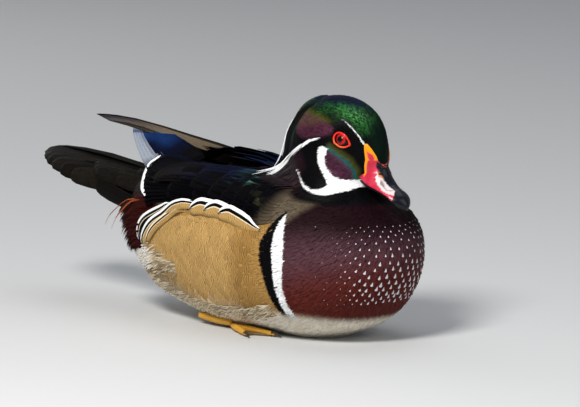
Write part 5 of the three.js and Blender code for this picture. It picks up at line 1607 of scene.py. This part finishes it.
z = np.linspace(LOBE_HEIGHTS[0], LOBE_HEIGHTS[-1], 91)[:, None] + np.zeros(37)
across = 1 - np.linspace(1, 0, 37) ** 1.7
x = blend(np.interp(z, LOBE_HEIGHTS, LOBE_BACK), np.interp(z, LOBE_HEIGHTS, LOBE_AHEAD), across)
y = outermost(x, z)
for _ in range(LOBE_EVENING):
    y[1:-1, 1:-1] = (y[:-2, 1:-1] + y[2:, 1:-1] + y[1:-1, :-2] + y[1:-1, 2:]) / 4
x = x + 0.4 * across**6
edge = np.minimum(np.minimum(across + 0.02, 1.02 - across) * 5, (138 - z) / 1.6)
lift = np.clip(edge, 0, 1) ** 0.5 * np.interp(z, (112, 119, 124), (0.12, 0.35, 0.85))
for side in (1, -1):
    places, faces = slab(*(sided(np.stack([x, y + rise, z], -1), side) for rise in (lift, 0 * x - 2)))
    bare_piece(on_side("bill_lobe", side), places, faces, bill_tints(places), horn, "bill_upper")

# The eyes: an opaque ball with the iris and the pupil painted on, under a clear coat, and round it the
# red ring of the lids.
IRIS_RED = colour(180, 20, 24)
IRIS_DARK = colour(96, 8, 14)
LID_RED = colour(222, 44, 26)
LID_HIGHLIGHT = colour(232, 108, 66)
LIDS = [
    (6.1, -1.3), (5.45, -3.3), (3.8, -4.7), (1.6, -5.05), (-1.1, -4.5), (-3.4, -3.2), (-4.8, -1.2),
    (-5.8, 0.7), (-6.4, 2.4), (-6.0, 3.3), (-4.6, 4.0), (-2.5, 4.7), (-0.4, 4.8), (1.9, 4.3), (4.2, 3.2),
    (5.6, 1.5),
]
PUPIL = INK * (0.5, 0.5, 0.5, 0)
IRIS_BACK, CORNEA = 3.3, 4.6
EYE_RINGS, BEAD = 64, 12


def evened(values, times):
    """Values round the lids, each drawn towards its two neighbours a number of times."""
    for _ in range(times):
        values = 0.25 * np.roll(values, 1, 0) + 0.5 * values + 0.25 * np.roll(values, -1, 0)
    return values


eye_finish = Finish("eye")
eye_finish.set(Base_Color=eye_finish.painted()[0], Roughness=0.3, Specular_IOR_Level=0.05)
eye_finish.set(Coat_Weight=0.35, Coat_Roughness=0.02)
polar = np.linspace(0, np.pi, EYE_RINGS + 1)[1:-1, None, None]
spin = np.linspace(0, 2 * np.pi, EYE_RINGS + 1)[:-1, None]
bead = np.linspace(0, 2 * np.pi, BEAD + 1)[:-1, None]
stops = np.arange(len(LIDS) + 6) - 3
steps = np.linspace(0, len(LIDS), EYE_RINGS + 1)[:-1]
lids = np.array(LIDS)[stops % len(LIDS)]
flat = evened(np.stack([np.interp(steps, stops, lids[:, k]) for k in (0, 1)], 1), 2)
for side in (1, -1):
    look, centre = sided(EYE_LOOK, side), sided(EYE, side)
    first = unit(np.cross(look, (0, 0, 1)))
    second = np.cross(look, first)
    disc = np.cos(spin) * first + np.sin(spin) * second
    rings = centre + EYE_RADIUS * (np.cos(polar) * look + np.sin(polar) * disc)
    places, faces = closed_skin(rings[::-side])
    places[-2:] = centre + EYE_RADIUS * np.array([-1, 1])[:, None] * look * side
    ways = unit(places - centre)
    facing = IRIS_BACK * (ways @ look)
    cornea = facing + np.sqrt(np.maximum(facing**2 - IRIS_BACK**2 + CORNEA**2, 0))
    places = centre + ways * np.where(ways @ look > 0, np.maximum(EYE_RADIUS, cornea), EYE_RADIUS)[:, None]
    gaze = unit(7 * look - 0.7 * second + 0.25 * first)
    aside = np.linalg.norm(np.cross(places - centre, gaze), axis=1)
    front = (places - centre) @ look > 0
    iris = into(IRIS_DARK, IRIS_RED, ease(aside, 2.1, 3.0))
    shown = (iris, ease(3.8 - aside, -0.15, 0.15) * front), (PUPIL, ease(2.15 - aside, -0.1, 0.1) * front)
    eye = on_side("eye", side)
    bare_piece(on_side("eyeball", side), places, faces, layered(PUPIL, *shown), eye_finish, eye, eye)
    middle = centre + flat[:, :1] * first + flat[:, 1:] * second
    hits = [skin_tree.ray_cast(tuple(place + 20 * look), tuple(-look))[0] for place in middle]
    on_head = np.array([(np.array(hit) - centre) @ look for hit in hits])
    on_ball = np.sqrt(np.maximum(EYE_RADIUS**2 - (flat**2).sum(1), 0))
    rise = evened(np.maximum(on_head, on_ball), 3)
    middle = middle + (rise[:, None] + 0.3) * look
    out = unit(middle - centre - ((middle - centre) @ look)[:, None] * look)
    corner = ease(np.hypot(flat[:, 0] + 6.4, flat[:, 1] - 2.6), 2.5, 0.5)
    wide = (0.7 + 0.2 * corner)[:, None, None]
    ring = middle[:, None] + wide * (np.cos(bead) * out[:, None] + np.sin(bead) * look)
    # The lids pale to orange at their lower rear, partly their own tone and partly a painted highlight.
    pale = ease(flat[:, 1] + 0.5 * flat[:, 0], 0, 5) * 0.7
    tints = np.repeat(into(LID_RED, LID_HIGHLIGHT, pale), BEAD, axis=0)
    index = np.arange(EYE_RINGS * BEAD).reshape(EYE_RINGS, BEAD)
    after, onward = np.roll(index, -1, 0), np.roll(index, -1, 1)
    faces = quads(index, onward, np.roll(after, -1, 1), after)[:, ::side]
    bare_piece(on_side("lid", side), ring.reshape(-1, 3), faces, tints, horn, "head")

# Legs and feet, folded flat under the belly: shanks with scutes, toes with joints, webs and claws.
FOOT_YELLOW = colour(206, 152, 44)
WEB_DARK = colour(96, 74, 40)
CLAW_HORN = colour(36, 30, 26)
ANKLE, FOOT_ROOT = np.array((-62, 33, 6.0)), np.array((-30, 34, 4.5))
TOES = [((-2, 20, 2.2), 3.0), ((14, 36, 2.2), 3.2), ((0, 50, 2.2), 3.0)]


def rod(line, wide, tall, side):
    """A closed round form about a line that lies almost level, nowhere below the floor."""
    ahead = unit(np.gradient(line, axis=0))
    aside = unit(np.cross((0, 0, 1), ahead))
    over = np.cross(ahead, aside)
    spin = np.linspace(0, 2 * np.pi, 21)[:-1, None]
    rings = line[:, None] + aside[:, None] * np.cos(spin) * wide[:, None, None]
    rings = rings + over[:, None] * np.sin(spin) * tall[:, None, None]
    places, faces = closed_skin(sided(rings, side)[::side])
    places[:, 2] = np.maximum(places[:, 2], 0)
    return places, faces


scutes = Finish("scutes")
where = {"Vector": scutes.place(), "Scale": 620.0}
edges = scutes.node("TexVoronoi", {"feature": "DISTANCE_TO_EDGE"}, where)[0].above(0.0, 0.25)
scutes.set(Base_Color=scutes.painted()[0], Roughness=0.5, Normal=scutes.bump(edges, 0.7, 0.2))
t = np.linspace(0, 1, 25)
knob = 1.6 * np.maximum(0, 1 - t * 5) + 0.8 * np.maximum(0, t * 5 - 4)
ends = np.sin(np.pi * np.clip(t, 0.03, 0.97)) ** 0.25
swell = (1 - 0.35 * t) * (1 + 0.08 * np.cos(6 * np.pi * t)) * ends
thin = 1.5 * (1 - 0.75 * t)
web_along, web_across = np.meshgrid(np.linspace(0.1, 0.93, 13), np.linspace(0, 1, 13), indexing="ij")
web_edge = (web_along * (1 - 0.16 * np.sin(np.pi * web_across)))[..., None]
for side in (1, -1):
    leg, foot = on_side("leg", side), on_side("foot", side)
    line = ANKLE + (FOOT_ROOT - ANKLE) * t[:, None]
    shank = rod(line, (3.3 + knob) * ends, (3.1 + 0.6 * knob) * ends, side)
    bare_piece(leg, *shank, FOOT_YELLOW, scutes, leg, leg)
    forms, tints = [], []
    for tip, wide in TOES:
        root = FOOT_ROOT + (0, 0, -1.6)
        line = root + (np.array(tip) - root) * t[:, None]
        forms.append(rod(line, wide * swell, 2.4 * (1 - 0.25 * t) * ends, side))
        ahead = unit((np.array(tip) - FOOT_ROOT) * (1, 1, 0))
        line = np.array(tip) + ahead * (-3 + 9 * t)[:, None]
        line[:, 2] = 2.4 + 0.9 * np.sin(np.pi * t) - 1.2 * t
        forms.append(rod(line, thin, thin, side))
        tints += [FOOT_YELLOW, CLAW_HORN]
    line = np.stack([-33 - 13 * t, 31 - 5 * t, 4 - 2.2 * t], 1)
    forms.append(rod(line, 2.2 * (1 - 0.4 * t) * ends, 2 * (1 - 0.35 * t) * ends, side))
    tints.append(FOOT_YELLOW)
    for (first, _), (last, _) in zip(TOES[:-1], TOES[1:]):
        edges = (FOOT_ROOT + (np.array(tip) - FOOT_ROOT) * web_edge for tip in (first, last))
        web = blend(*edges, web_across[..., None])
        upper, under = web * (1, 1, 0) + (0, 0, 1.7), web * (1, 1, 0)
        forms.append(slab(sided(upper, side), sided(under, side)))
        tints.append(WEB_DARK)
    tints = np.repeat(tints, [len(places) for places, _ in forms], axis=0)
    bare_piece(foot, *joined(forms), tints, scutes, foot, foot)
